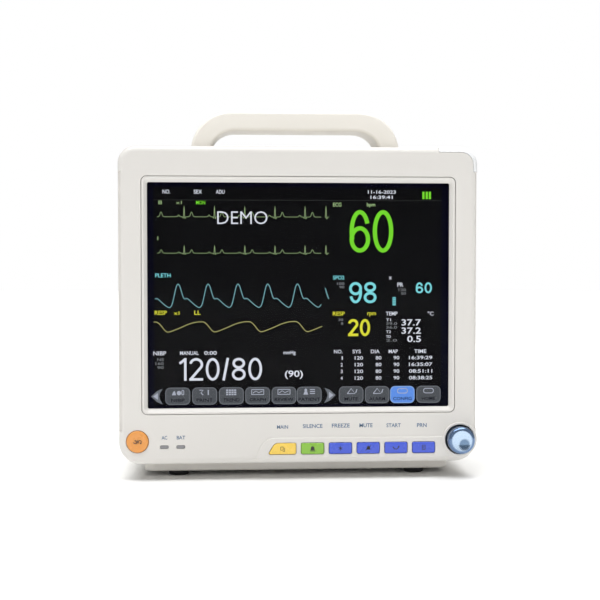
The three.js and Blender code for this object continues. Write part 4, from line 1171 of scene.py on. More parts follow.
# %% Soft keys
SOFT_KEYS = (
    (14.7, "NIBP", "waves"),
    (37.6, "PRINT", "arrow"),
    (60.4, "TREND", "grid"),
    (83.0, "GRAPH", "frame"),
    (105.6, "REVIEW", "frame"),
    (127.4, "PATIENT", "person"),
    (163.7, "MUTE", "bell"),
    (186.3, "ALARM", "bell"),
    (208.3, "CONFIG", "pill"),
    (231.1, "HOME", "pill"),
)
SOFT_WIDTH, SOFT_LOW, SOFT_HIGH = 21.3, 2.7, 17.5


def hollow(x0, z0, x1, z1, line=0.6, radius=0.4, thick=PICTURE_DEPTH):
    """The outline of a rounded box as a band: an outer ring joined to an inner one."""
    outer = rounded_box(x0, x1, z0, z1, radius, steps=3)
    inner = inset(outer, line)
    n = len(outer)
    faces = [[i, (i + 1) % n, (i + 1) % n + n, i + n] for i in range(n)]
    return thicken(np.concatenate([outer, inner]), faces, thick)


def sign_shapes(kind, x, z):
    """A soft key's small sign, about 9 mm wide and 5 mm high, centred at x and z."""
    if kind == "grid":
        return [
            plate([(x - 4.5 + 2.3 * i, z - 2.5 + 1.8 * j), (x - 2.7 + 2.3 * i, z - 2.5 + 1.8 * j),
                   (x - 2.7 + 2.3 * i, z - 1.2 + 1.8 * j), (x - 4.5 + 2.3 * i, z - 1.2 + 1.8 * j)])
            for i in range(4)
            for j in range(3)
        ]
    if kind == "frame":
        return [
            hollow(x - 5.5, z - 2.4, x + 5.5, z + 2.4),
            ribbon([(x - 4.2, z - 1), (x - 1.6, z + 0.9), (x + 0.8, z - 0.6), (x + 4.2, z + 0.9)], 0.6),
        ]
    if kind == "pill":
        return [hollow(x - 4.6, z - 2.2, x + 4.6, z + 2.4, 0.65, 2.0)]
    if kind == "bell":
        return [
            ribbon([(x - 3.4, z - 2), (x, z + 2.4), (x + 3.4, z - 2), (x - 3.4, z - 2)], 0.75),
            plate([(x + 3.4, z - 1.4), (x + 4.4, z - 1.4), (x + 5.4, z + 1.8), (x + 4.6, z + 1.8)]),
        ]
    if kind == "person":
        return [
            plate(circle(x - 3, z + 1.4, 1.2, 14)),
            plate([(x - 5, z - 2.5), (x - 1, z - 2.5), (x - 1.8, z + 0.2), (x - 4.2, z + 0.2)]),
            *[plate([(x + 0.6, z - 2 + 1.7 * k), (x + 5, z - 2 + 1.7 * k), (x + 5, z - 1.2 + 1.7 * k),
                     (x + 0.6, z - 1.2 + 1.7 * k)]) for k in range(3)],
        ]
    if kind == "waves":
        return [
            plate([(x - 5, z - 2.2), (x - 1.5, z - 2.2), (x - 2.6, z + 1.6), (x - 4.0, z + 0.4)]),
            plate(circle(x + 1.0, z - 0.4, 1.9, 16)),
            hollow(x + 3.2, z - 2.2, x + 5.4, z + 2.2, 0.6, 0.9),
        ]
    return [
        ribbon([(x - 4.4, z + 2), (x - 1.4, z + 2), (x - 3.2, z - 0.4), (x - 1.2, z - 2.2)], 0.8),
        plate([(x + 2.6, z - 2.2), (x + 3.6, z - 2.2), (x + 3.6, z + 2.2), (x + 2.6, z + 2.2)]),
    ]


for left, caption, kind in SOFT_KEYS:
    lit = caption == "CONFIG"
    right, middle = left + SOFT_WIDTH, left + SOFT_WIDTH / 2
    on_screen(
        plate(rounded_box(left, right, SOFT_LOW, SOFT_HIGH, 4.2, steps=6)),
        "lit_rim" if lit else "key_rim",
    )
    on_screen(
        plate(rounded_box(left + 0.7, right - 0.7, SOFT_LOW + 0.7, SOFT_HIGH - 0.7, 3.6, steps=6)),
        "lit_face" if lit else "key_face",
        lift=0.04,
    )
    for shape in sign_shapes(kind, middle, 13.2):
        on_screen(shape, "key_sign", lift=0.08)
    half = 1.15 * len(caption) + 1.2
    write(caption, middle - half, 5.2, middle + half, 8.0, "key_word", lift=0.08)
for tip, root in ((2.6, 12.6), (160.9, 150.9)):
    middle, shallow, deep, mid_arrow, far = (root + (tip - root) * k for k in (0.5, 0.22, 0.3, 0.42, 0.82))
    bow = [(root, 16.6), (middle, 14.6), (tip, 10.1), (middle, 5.4), (root, 3.2)]
    outline = np.array(bow + [(shallow, 7.0), (deep, 10.1), (shallow, 13.2)])
    on_screen(plate(outline if tip > root else outline[::-1]), "key_rim")
    on_screen(plate([(far, 10.1), (mid_arrow, 13.0), (mid_arrow, 7.2)]), "key_sign", lift=0.06)

INKS = {
    "white": ((0.86, 0.90, 1.0), 1.2),
    "dim": ((0.30, 0.32, 0.34), 0.9),
    "faint": ((0.07, 0.075, 0.07), 0.9),
    "green": ((0.21, 0.80, 0.035), 1.25),
    "pale_green": ((0.42, 0.62, 0.28), 1.25),
    "trace_green": ((0.30, 0.42, 0.20), 1.25),
    "cyan": ((0.24, 0.80, 0.86), 1.25),
    "trace_cyan": ((0.24, 0.56, 0.62), 1.25),
    "yellow": ((0.85, 0.85, 0.05), 1.25),
    "trace_yellow": ((0.52, 0.50, 0.18), 1.25),
    "key_rim": ((0.22, 0.24, 0.27), 1.0),
    "key_face": ((0.115, 0.125, 0.14), 1.0),
    "lit_rim": ((0.34, 0.55, 1.0), 1.1),
    "lit_face": ((0.15, 0.36, 1.0), 1.15),
    "key_sign": ((0.60, 0.64, 0.76), 1.0),
    "key_word": ((0.012, 0.013, 0.02), 1.0),
}
for ink, shapes in picture.items():
    colour, strength = INKS[ink]
    marks = mesh_object(f"display_{ink}", together(*shapes))
    place(marks, glowing(f"lit_{ink}", colour, strength))
margin_outer = inset(POCKET, 0.9)
margin_inner = rounded_box(-124.2, 123.2, 64.0, 250.3, 0.6, steps=16)
margin_layers = [
    (margin_outer, PICTURE_Y + 0.02),
    (margin_inner, PICTURE_Y + 0.02),
    (margin_inner, PICTURE_Y + 0.12),
    (margin_outer, PICTURE_Y + 0.12),
]
margin = mesh_object("display_margin", skin(stack(margin_layers), closed=True))
place(margin, MARGIN_BLUE)
print("lit marks:", {k: len(v) for k, v in picture.items()})

# %% [markdown]
# ## Keys, power button and knob
#
# A key is a satin plastic cap with a soft dome and rounded rims. The knob is turned metal, and its end
# has one shallow finger dimple off its centre, so its face can't be a plain turned shape. It is a polar
# grid whose depth is the turned profile plus a smooth hollow.

# %% Keys
KEY_FRONT, KEY_FLANGE = -66.1, -60.6
KEY_BACK = float(key_high[1])


def key_cap(outline_at):
    """A key: wide flange behind, straight sides, a 0.9 mm rounded rim and a slightly crowned face."""
    outline = outline_at(0.0)
    layers = [(outline_at(1.2), KEY_BACK), (outline_at(1.2), KEY_FLANGE), (outline, KEY_FLANGE)]
    layers += [(inset(outline, i), KEY_FRONT + 0.15 + d) for i, d in arc_steps(0.9, 4)]
    rim = inset(outline, 0.9)
    middle = (rim.min(0) + rim.max(0)) / 2
    layers += [(middle + (rim - middle) * s, KEY_FRONT + 0.15 * s * s) for s in (0.8, 0.55, 0.3)]
    return skin(stack(layers))


KEY_FINISH = {"silence": (KEY_GREEN, "key_green")}
for name, x in KEY_X.items():
    cap = mesh_object(f"cap_{name}", key_cap(lambda grow, x=x: key_outline(x, grow)))
    material, slot = KEY_FINISH.get(name, (KEY_BLUE, "key_blue"))
    place(cap, material, f"key_{name}", [f"key_{name}"])
cap = mesh_object("cap_main", key_cap(main_key_outline))
place(cap, KEY_YELLOW, "key_main", ["key_main"])
print("keys:", len(KEY_X) + 1)


# %% Signs on the keys
def printed(name, shapes, at, body, ink=DARK_INK, y=0.0):
    """Thin printed marks in front of a face: drawings in x and z moved to their place."""
    x, z = at
    moved = [(points + np.array([x, y, z]), faces) for points, faces in shapes]
    marks = mesh_object(name, together(*moved))
    return place(marks, ink, body)


INK_THICK = 0.05


def patch(*corners):
    """A filled mark of printed ink."""
    return plate(corners, INK_THICK)


def stroke(path, width):
    """A line of printed ink."""
    return ribbon(path, width, INK_THICK)


KEY_SIGNS = {
    "silence": [
        patch((-1.9, -1.5), (1.9, -1.5), (1.3, 1.3), (0.5, 2.0), (-0.5, 2.0), (-1.3, 1.3)),
        patch((-2.3, -2.3), (2.3, -2.3), (2.3, -1.8), (-2.3, -1.8)),
    ],
    "freeze": [
        stroke([(1.9 * math.cos(a), 1.9 * math.sin(a)), (-1.9 * math.cos(a), -1.9 * math.sin(a))], 0.5)
        for a in (0.52, 1.57, 2.62)
    ],
    "mute": [
        patch((-1.8, -1.4), (1.8, -1.4), (1.2, 1.2), (0, 2.0), (-1.2, 1.2)),
        stroke([(-2.5, -2.1), (2.4, 2.2)], 0.45),
    ],
    "start": [
        stroke([(-2.8, 0.9), (-1.6, -0.9), (0.4, -1.2), (2.2, 0.2)], 0.8),
        patch((1.2, 0.3), (3.0, 0.4), (2.4, 2.0)),
    ],
    "print": [
        hollow(-1.5, -2.1, 1.5, 2.1, 0.45, thick=INK_THICK),
        stroke([(-0.8, 0.6), (0.8, 0.6)], 0.4),
        stroke([(-0.8, -0.5), (0.8, -0.5)], 0.4),
    ],
}
for name, shapes in KEY_SIGNS.items():
    printed(f"sign_{name}", shapes, (KEY_X[name], KEY_Z), f"key_{name}", y=KEY_FRONT - 0.03)
main_sign = [
    hollow(-1.7, -1.3, 0.9, 1.9, 0.4, thick=INK_THICK),
    stroke([(0.2, -2.1), (1.9, -2.1), (1.9, 0.9)], 0.45),
]
printed("sign_main", main_sign, (MAIN_KEY_X - 1.9, KEY_Z), "key_main", y=KEY_FRONT - 0.03)
print("signs:", len(KEY_SIGNS) + 1)

# %% Power button
power_profile = [(0, -59.4), (11, -59.4), (11, -60.6), (9.3, -60.6), (9.3, -64.3)]
power_profile += [(9.3 - i, -65.5 + d) for i, d in arc_steps(1.2, 6)]
power_profile += [(7.4, -65.58), (5.0, -65.4), (2.5, -65.24), (0, -65.2)]
button = mesh_object("button_cap", lathe(power_profile, (POWER_X, POWER_Z), count=72))
place(button, BUTTON_ORANGE, "power_button", ["power_button"])
arc = np.linspace(0.9, 5.4, 16)
power_sign = [
    stroke(np.c_[-1.9 + 1.3 * np.cos(arc + 2.3), 1.3 * np.sin(arc + 2.3)], 0.5),
    stroke([(-1.9, 0.2), (-1.9, 1.9)], 0.5),
    stroke([(-0.5, -1.9), (0.6, 1.9)], 0.45),
    stroke(np.c_[2.1 + 1.3 * np.cos(arc - 1.2), 1.3 * np.sin(arc - 1.2)], 0.5),
    patch((2.5, -2.0), (3.9, -0.9), (2.2, -0.4)),
]
printed("sign_power", power_sign, (POWER_X, POWER_Z), "power_button", y=-65.56)

# %% Indicator windows
WINDOW_GREY = finish("window_grey", (0.22, 0.22, 0.23), rough=0.2, depth=0.01, coat=0.4, dust=0.0)
for node in INDICATORS:
    low, high = span(node)
    outline = rounded_box(low[0], high[0], low[2], high[2], 1.25, steps=8)
    layers = [(outline, high[1])] + [(inset(outline, i), low[1] + d) for i, d in arc_steps(0.4, 3)]
    pane = mesh_object(node.replace("window", "lens"), skin(stack(layers)))
    place(pane, WINDOW_GREY, instead_of=[node])
print("button and windows made")

# %% Knob
KNOB_TIP, KNOB_BACK, KNOB_SEAT, KNOB_RADIUS = -76.0, -60.6, -71.8, 11.8
FLAT_RADIUS, CROWN_DEPTH, DISH_DEPTH, KNOB_SIDES = 8.6, 3.4, 0.35, 96
DIMPLE_AT, DIMPLE_RADIUS, DIMPLE_DEPTH = (2.0, -2.9), 5.0, 1.0
face_radius = np.concatenate(
    [
        np.linspace(0, FLAT_RADIUS, 30)[1:],
        FLAT_RADIUS + (KNOB_RADIUS - FLAT_RADIUS) * np.sin(np.linspace(0, math.pi / 2, 13)[1:]),
    ]
)
turn = np.arange(KNOB_SIDES) * 2 * math.pi / KNOB_SIDES
radius_grid, turn_grid = np.meshgrid(face_radius, turn, indexing="ij")
face_x, face_z = radius_grid * np.cos(turn_grid), radius_grid * np.sin(turn_grid)
beyond = np.clip((radius_grid - FLAT_RADIUS) / (KNOB_RADIUS - FLAT_RADIUS), 0, 1)
crown = CROWN_DEPTH * (1 - np.sqrt(np.maximum(1 - beyond**2, 0)))
dish = DISH_DEPTH * (1 - np.clip(radius_grid / FLAT_RADIUS, 0, 1) ** 2)
off_centre = np.hypot(face_x - DIMPLE_AT[0], face_z - DIMPLE_AT[1]) / DIMPLE_RADIUS
hollow_depth = DIMPLE_DEPTH * np.clip(1 - off_centre**2, 0, 1) ** 0.75
face_rings = np.stack([KNOB_X + face_x, KNOB_TIP + crown + dish + hollow_depth, KNOB_Z + face_z], axis=-1)
side = [(KNOB_RADIUS, -70.0), (KNOB_RADIUS, KNOB_BACK - 0.3), (KNOB_RADIUS - 0.3, KNOB_BACK)]
side += [(9.8, KNOB_BACK), (9.8, -70.0), (5.4, -70.0), (5.4, -62.2), (3.2, -62.2), (3.2, KNOB_SEAT)]
side_rings = np.zeros((len(side), KNOB_SIDES, 3))
for ring, (radius, y) in zip(side_rings, side):
    ring[:, 0], ring[:, 1], ring[:, 2] = KNOB_X + radius * np.cos(turn), y, KNOB_Z + radius * np.sin(turn)
middle_depth = DISH_DEPTH + DIMPLE_DEPTH * (1 - (np.hypot(*DIMPLE_AT) / DIMPLE_RADIUS) ** 2) ** 0.75
knob_points, knob_faces = skin(np.concatenate([face_rings, side_rings]), caps=False)
centre_index = len(knob_points)
knob_points = np.concatenate(
    [knob_points, [(KNOB_X, KNOB_TIP + middle_depth, KNOB_Z), (KNOB_X, KNOB_SEAT, KNOB_Z)]]
)
knob_faces += [[centre_index, (i + 1) % KNOB_SIDES, i] for i in range(KNOB_SIDES)]
last_ring = (len(face_rings) + len(side_rings) - 1) * KNOB_SIDES
knob_faces += [
    [centre_index + 1, last_ring + i, last_ring + (i + 1) % KNOB_SIDES] for i in range(KNOB_SIDES)
]
knob = mesh_object("knob_turned", (knob_points, knob_faces))
place(knob, KNOB_SILVER, "knob", ["control_knob"], smooth=50)
print("knob:", len(knob.data.polygons), "faces")

# %% Printed legends on the bezel
LEGENDS = (
    ("MAIN", -14.7, 43.9, 9.5, 3.1),
    ("SILENCE", 11.2, 44.3, 16.9, 3.4),
    ("FREEZE", 35.4, 44.5, 15.4, 3.4),
    ("MUTE", 57.2, 44.5, 11.4, 3.4),
    ("START", 81.1, 44.3, 12.4, 3.4),
    ("PRN", 105.6, 44.2, 8.4, 3.4),
    ("AC", -115.2, 35.7, 4.7, 3.1),
    ("BAT", -101.2, 35.7, 7.2, 3.1),
)
words = []
for text, x, z, width, height in LEGENDS:
    word = lettering(text, INK_THICK, fine=4, bold=0.016)
    words.append(fitted(word, x - width / 2, z, x + width / 2, z + height))
legend = mesh_object("printed_words", together(*words))
legend.data.transform(Matrix.Translation((0, (FACE_Y - 0.03) * MM, 0)))
place(legend, PRINT_INK)
print("legends:", len(LEGENDS))

# %% [markdown]
# ## Rear housing
#
# The rear half is a deep tub. Its side walls run straight back and then curve in along a quarter
# ellipse to the flat back wall, so its back rim looks soft. The inner skin follows 3 mm further in. A
# scooped hollow under the handle leaves room for the fingers, and every opening is cut with a tool
# whose mouth flares out, because a moulded opening never has a sharp rim.


# %% Cutting tools
def mouth(outline, surface, way, reach, flare=0.6, axis="y"):
    """A cutter through a wall from its surface.

    At depth u of the flare the mouth is wider by flare * (1 - sqrt(1 - (1 - u)^2))."""
    depths = np.linspace(0, flare, 5)
    growth = flare - np.sqrt(np.maximum(flare**2 - (flare - depths) ** 2, 0))
    layers = [(inset(outline, -flare), surface - way * 2)]
    layers += [(inset(outline, -g), surface + way * d) for g, d in zip(growth, depths)]
    layers += [(outline, surface + way * reach)]
    return skin(stack(layers, axis))


def tub(x0, x1, y0, y1, floor, top, radius, round_floor):
    """A rounded box across z, open to the top, whose floor meets its walls in a quarter round."""
    outline = rounded_box(x0, x1, y0, y1, radius, steps=10)
    layers = [(inset(outline, i), floor + d) for i, d in arc_steps(round_floor, 5)][::-1]
    return skin(stack(layers + [(outline, top)], "z"))


# %% Housing tub
HOUSING_FRONT, BACK_Y, TAPER_Y, TAPER_INSET = -36.7, 76.0, 40.0, 11.0
REAR_OUTLINE = rounded_box(-153.5, 153.5, 14.5, 284.5, 19, 15, steps=14)
bend = np.linspace(0, math.pi / 2, 14)


def rear_shell(shrink):
    """The tub's skin, moved inwards by a wall's thickness: straight walls, then inset = a(1 - cos t)."""
    outline = inset(REAR_OUTLINE, shrink)
    depth = BACK_Y - shrink - TAPER_Y
    layers = [(outline, HOUSING_FRONT), (outline, TAPER_Y)]
    layers += [
        (inset(outline, TAPER_INSET * (1 - math.cos(t))), TAPER_Y + depth * math.sin(t)) for t in bend[1:]
    ]
    return skin(stack(layers))


def plinth_shell(shrink):
    """The plinth under the housing: a rounded box with a small round at its lower rim."""
    outline = rounded_box(-134 + shrink, 134 - shrink, HOUSING_FRONT + shrink, 62 - shrink, 10, steps=8)
    layers = [(inset(outline, i), 4 + shrink + d) for i, d in arc_steps(1.5, 3)][::-1]
    return skin(stack(layers + [(outline, 40.0)], "z"))


housing = mesh_object("housing_shell", rear_shell(0))
carve(housing, plinth_shell(0), "UNION")
room = mesh_object("room", rear_shell(WALL))
carve(room, plinth_shell(WALL), "UNION")
carve(room, block(-154, 154, HOUSING_FRONT - 8, HOUSING_FRONT + 1, 14, 285))
carve(room, tub(-73, 73, -27, 39, 263, 300, 11, 6))
SCREW_X, SCREW_LOW, SCREW_HIGH = 145.2, 62.0, 246.0
SCREW_AT = [(x, z) for x in (-SCREW_X, SCREW_X) for z in (SCREW_LOW, SCREW_HIGH)]
carve(room, together(*[rod(5.5, -40, 80, at) for at in SCREW_AT]))
carve_with(housing, room)
step_in = inset(REAR_OUTLINE, WALL)
carve(housing, skin(stack([(step_in, HOUSING_FRONT - 1), (step_in, HOUSING_FRONT + 12)])))
carve(housing, together(*[rod(5.5, HOUSING_FRONT, -22, at) for at in SCREW_AT]), "UNION")
carve(housing, tub(-70, 70, -24, 36, 266, 300, 8, 5))
well = [(0, -37.5), (1.7, -37.5), (1.7, -33), (3.4, -33), (3.4, 80), (0, 80)]
carve(housing, together(*[lathe(well, at, count=32) for at in SCREW_AT]))
print("housing tub:", len(housing.data.polygons), "faces")

# %% Side bays, legs, mount and slots
BAY = (-26.0, 22.0)
left_bay = rounded_box(*BAY, 80, 228, 1.2, steps=5)
upper_bay = rounded_box(*BAY, 142, 232, 0.8, steps=5)
lower_bay = rounded_box(*BAY, 76, 132, 0.8, steps=5)
carve(housing, mouth(left_bay, -153.5, 1, 5, 0.5, "x"))
carve(housing, together(*[mouth(b, 153.5, -1, 5, 0.25, "x") for b in (upper_bay, lower_bay)]))
LEG_X = 84.5
legs = [rounded_box(s * LEG_X - 8.9, s * LEG_X + 8.9, -14.4, 28.4, 3.4, steps=8) for s in (-1, 1)]
carve(housing, together(*[mouth(leg, 284.5, -1, 9, 0.7, "z") for leg in legs]))
MOUNT_Z = 138.0
mount = rounded_box(-60, 60, MOUNT_Z - 60, MOUNT_Z + 60, 6, steps=8)
carve(housing, mouth(mount, BACK_Y, -1, 1.5, 0.5))
holes = [circle(x, MOUNT_Z + z, 2.2, 28) for x in (-50, 50) for z in (-50, 50)]
carve(housing, together(*[mouth(h, BACK_Y - 1.5, -1, 5, 0.4) for h in holes]))
FAN_X, SPEAKER_X, VENT_Z = 62.0, -76.0, 214.0
slots = [(FAN_X + (i - 3) * 7, 23) for i in range(7)] + [(SPEAKER_X + (i - 2) * 7, 17) for i in range(5)]
slots = [rounded_box(x - 1.5, x + 1.5, VENT_Z - half, VENT_Z + half, 1.4, steps=5) for x, half in slots]
carve(housing, together(*[mouth(s, BACK_Y, -1, 5, 0.45) for s in slots]))
REAR_Z = 52.0
ways = [
    rounded_box(-112.6, -83.4, REAR_Z - 10.8, REAR_Z + 10.8, 2.4, steps=5),
    circle(-62, REAR_Z, 7.0, 40),
    rounded_box(-38.4, -21.6, REAR_Z - 7.4, REAR_Z + 7.4, 0.8, steps=4),
    rounded_box(-6.8, 18.8, REAR_Z - 6.0, REAR_Z + 6.0, 1.0, steps=4),
    circle(-126, REAR_Z, 3.6, 32),
]
carve(housing, together(*[mouth(w, BACK_Y, -1, 8, 0.35) for w in ways]))
FOOT_X, FOOT_FRONT, FOOT_REAR = 104, -28, 48
pegs = [(x, y) for x in (-FOOT_X, FOOT_X) for y in (FOOT_FRONT, FOOT_REAR)]
carve(housing, together(*[rod(4.2, 0, 12, at, "z", 32) for at in pegs]))
place(housing, REAR_CASING, instead_of=["rear_housing"])
print("rear housing:", len(housing.data.polygons), "faces")

# %% [markdown]
# ## Carry handle and feet
#
# The handle is one bar bent into an arch. A rounded section is carried along the arch: at each station
# the bar's outer and inner points are known, and the section is stretched between them. The bar gets a
# little thicker in its corners, as a moulded handle does.

# %% Handle
HANDLE_OUT, HANDLE_IN, HANDLE_TOP, HANDLE_UNDER = 93.0, 76.0, 320.0, 303.0


def quarter_bend(x, z, radius, count=14):
    """A quarter circle that ends on the upright line at x and the level line at z."""
    angle = np.linspace(0, math.pi / 2, count)
    return np.c_[x - radius + radius * np.cos(angle), z - radius + radius * np.sin(angle)]


outer_bend = quarter_bend(HANDLE_OUT, HANDLE_TOP, 36)
inner_bend = quarter_bend(HANDLE_IN, HANDLE_UNDER, 22)
legs_out = np.array([(HANDLE_OUT, z) for z in (268, 276)])
legs_in = np.array([(HANDLE_IN, z) for z in (268, 274)])
half_out = np.concatenate([legs_out, outer_bend, [(20.0, HANDLE_TOP)]])
half_in = np.concatenate([legs_in, inner_bend, [(20.0, HANDLE_UNDER)]])
arch_out = np.concatenate([half_out, half_out[::-1] * (-1, 1)])
arch_in = np.concatenate([half_in, half_in[::-1] * (-1, 1)])
across = arch_out - arch_in
thickness = np.linalg.norm(across, axis=1)
sections = np.stack([rounded_box(0, t, -14, 28, 3, steps=7) for t in thickness])
share = (sections[:, :, 0] / thickness[:, None])[:, :, None]
arch_points = arch_in[:, None, :] + across[:, None, :] * share
handle_rings = np.stack([arch_points[:, :, 0], sections[:, :, 1], arch_points[:, :, 1]], axis=-1)
handle = mesh_object("handle_arch", skin(handle_rings))
place(handle, HANDLE_PLASTIC, instead_of=["carry_handle"], smooth=40)

# %% Feet and screws
for end, y in (("front", FOOT_FRONT), ("rear", FOOT_REAR)):
    for side, x in (("left", -FOOT_X), ("right", FOOT_X)):
        profile = [(0, 0.6), (4.6, 0.6), (5.0, 0), (7.0, 0)]
        profile += [(8.6 - i * 0.8, d) for i, d in arc_steps(1.2, 4)[::-1]]
        profile += [(9.0, 3.4), (8.7, 3.7), (3.9, 3.7), (3.9, 8.6), (3.5, 9.0), (0, 9.0)]
        foot = mesh_object(f"foot_pad_{end}_{side}", lathe(profile, (x, y), "z", 48))
        place(foot, RUBBER, instead_of=[f"foot_{end}_{side}"])
for level, z in (("upper", SCREW_HIGH), ("lower", SCREW_LOW)):
    for side, x in (("left", -SCREW_X), ("right", SCREW_X)):
        profile = [(0, -47.5), (0.5, -47.3), (1.35, -46.3), (1.35, -32.7), (2.6, -32.7), (2.8, -32.5)]
        profile += [(2.8, -30.9), (2.5, -30.5), (1.4, -30.05), (0, -29.9)]
        screw = mesh_object(f"screw_{level}_{side}", lathe(profile, (x, z), count=32))
        for wide, high in ((1.9, 0.35), (0.35, 1.9)):
            carve(screw, block(x - wide, x + wide, -31.1, -28, z - high, z + high))
        place(screw, STEEL, instead_of=[f"housing_screw_{level}_{side}"])
print("handle, feet and screws made")

# %% [markdown]
# ## Sockets
#
# Each round patient socket on the left side is a turned flange with a ring channel for the plug's
# sleeve and a core with contact holes. The rear row has a mains inlet with three blades, a fuse holder,
# a network socket, a video socket and an earth stud.

# %% Patient sockets
SOCKET_Y, PANEL_X = -2.0, -150.2
SOCKETS = (
    ("ecg_socket", 206, 9.2, 11.6, 5.6, GREY_PLASTIC, "window_grey", ((6, 3.6), (1, 0.01))),
    ("oxygen_socket", 174, 8.2, 10.4, 4.8, SOCKET_BLUE, "socket_blue", ((6, 3.0), (1, 0.01))),
    ("cuff_port", 144, 6.2, 9.0, 0, STEEL, "steel", ()),
    ("temperature_socket_1", 119, 5.2, 7.4, 0, BLACK_PLASTIC, "black_plastic", ()),
    ("temperature_socket_2", 99, 5.2, 7.4, 0, BLACK_PLASTIC, "black_plastic", ()),
)
panel_shape = block(PANEL_X, PANEL_X + 2.5, -30, 26, 76, 232, 1.5, axis="x")
panel_plate = mesh_object("socket_panel", panel_shape)
for name, z, radius, flange, core, material, slot, pins in SOCKETS:
    at = (SOCKET_Y, z)
    carve(panel_plate, rod(radius + 0.4, -160, -140, at, "x"))
    tip, seat = -153.1, PANEL_X - 0.3
    rim = [(flange - i, tip + d) for i, d in arc_steps(0.8, 4)[::-1]]
    if core:
        middle = [(0, tip + 0.9), (core - 0.4, tip + 0.9), (core, tip + 1.3), (core, -144)]
        middle += [(core + 2, -144), (core + 2, tip + 0.4), (core + 2.4, tip)]
    else:
        middle = [(0, -143), (1.8, -143), (1.8, tip + 1.8), (2.4, tip + 1.1)]
        middle += [(flange * 0.55, tip + 0.7), (flange * 0.62, tip)]
    profile = middle + rim + [(flange, seat), (radius, seat), (radius, -141), (0, -141)]
    socket = mesh_object(f"{name}_turned", lathe(profile, at, "x", 72))
    spots = [
        (SOCKET_Y + r * math.cos(k * 2 * math.pi / n), z + r * math.sin(k * 2 * math.pi / n))
        for n, r in pins
        for k in range(n)
    ]
    if spots:
        carve(socket, together(*[rod(0.75, -160, -148, spot, "x", 20) for spot in spots]))
    place(socket, material, instead_of=[name])
place(panel_plate, BLACK_PLASTIC, instead_of=["connector_panel"])
print("patient sockets:", len(SOCKETS))

# %% Rear sockets
inlet_shape = block(-112.2, -83.8, 48, BACK_Y, REAR_Z - 10.4, REAR_Z + 10.4, 2, 6, 0.5)
inlet = mesh_object("inlet_body", inlet_shape)
carve(inlet, mouth(rounded_box(-110, -86, REAR_Z - 8, REAR_Z + 8, 2.5, steps=6), BACK_Y, -1, 16, 0.5))
place(inlet, BLACK_PLASTIC, instead_of=["mains_inlet"])
blades = [
    block(x - 1, x + 1, BACK_Y - 17, BACK_Y - 3, z - 2, z + 2, 0.3, 3, 0.25)
    for x, z in ((-105, REAR_Z - 2), (-98, REAR_Z + 2), (-91, REAR_Z - 2))
]
place(mesh_object("inlet_blades", together(*blades)), STEEL)

fuse_profile = [(0, 52), (5.6, 52), (5.6, 70), (6.6, 70)]
fuse_profile += [(6.6 - i, BACK_Y - d) for i, d in arc_steps(0.8, 4)] + [(0, BACK_Y)]
fuse = mesh_object("fuse_cap", lathe(fuse_profile, (-62, REAR_Z)))
carve(fuse, block(-66.4, -57.6, BACK_Y - 1.2, BACK_Y + 1, REAR_Z - 0.7, REAR_Z + 0.7))
place(fuse, BLACK_PLASTIC, instead_of=["fuse_holder"])

jack = mesh_object("network_shell", block(-38, -22, 56, BACK_Y, REAR_Z - 7, REAR_Z + 7, 0.6, 3, 0.3))
carve(jack, block(-35.9, -24.1, 63, BACK_Y + 1, REAR_Z - 4.4, REAR_Z + 3.8, 0.3))
carve(jack, block(-33, -27, 63, BACK_Y + 1, REAR_Z + 3.6, REAR_Z + 5.4, 0.3))
place(jack, STEEL, instead_of=["network_socket"])
contacts = [
    block(-34.1 + i * 1.1, -33.6 + i * 1.1, 63, 70, REAR_Z - 4.6, REAR_Z - 2.9, 0.1) for i in range(8)
]
place(mesh_object("network_contacts", together(*contacts)), BRASS)


def d_shape(margin):
    """The video socket's outline: wider at the top than at the bottom, moved inwards by a margin."""
    low, high = REAR_Z - 5.6, REAR_Z + 5.6
    corners = np.array([(-4.8, low), (16.8, low), (18.4, high), (-6.4, high)])
    return inset(corners, margin)


video = mesh_object("video_shell", skin(stack([(d_shape(0), 60), (d_shape(0), BACK_Y)])))
channel = mesh_object("channel", skin(stack([(d_shape(0.7), 70), (d_shape(0.7), BACK_Y + 1)])))
carve(channel, skin(stack([(d_shape(1.9), 69), (d_shape(1.9), BACK_Y - 0.6)])))
carve_with(video, channel)
pin_spots = [(6 + (i - 2) * 3.2 + row * 0.8, REAR_Z + row * 2.0) for row in (-1, 0, 1) for i in range(5)]
carve(video, together(*[rod(0.5, BACK_Y - 6, BACK_Y, spot, count=16) for spot in pin_spots]))
place(video, SOCKET_BLUE, instead_of=["video_socket"])

stud_profile = [(0, 66), (5.6, 66), (5.6, 72.7), (3.2, 72.7)]
stud_profile += [(3.2 - 0.35 * (k % 2), 72.9 + 0.35 * k) for k in range(8)]
stud_profile += [(2.6, BACK_Y - 0.1), (2.3, BACK_Y), (0, BACK_Y)]
stud = mesh_object("stud_turned", lathe(stud_profile, (-126, REAR_Z), count=48))
place(stud, BRASS, instead_of=["ground_stud"])
print("rear sockets made")

# %% [markdown]
# ## Recorder and battery bay
#
# On the right side a small door carries the rubber platen that pulls the paper. The roll sits on a
# spindle behind it. The door below closes the battery bay. Both doors swing on thin steel pins, so each
# door ends in a round knuckle.

# %% Doors
DOOR_IN, DOOR_OUT, PIN_X = 150.6, 153.4, 152.0


def side_plate(y0, y1, z0, z1, radius):
    """A door's plate across x: rounded corners, and a rounded rim on its outer face."""
    outline = rounded_box(y0, y1, z0, z1, radius, steps=4)
    layers = [(outline, DOOR_IN)] + [(inset(outline, i), DOOR_OUT - d) for i, d in arc_steps(0.5, 3)]
    return skin(stack(layers, "x"))


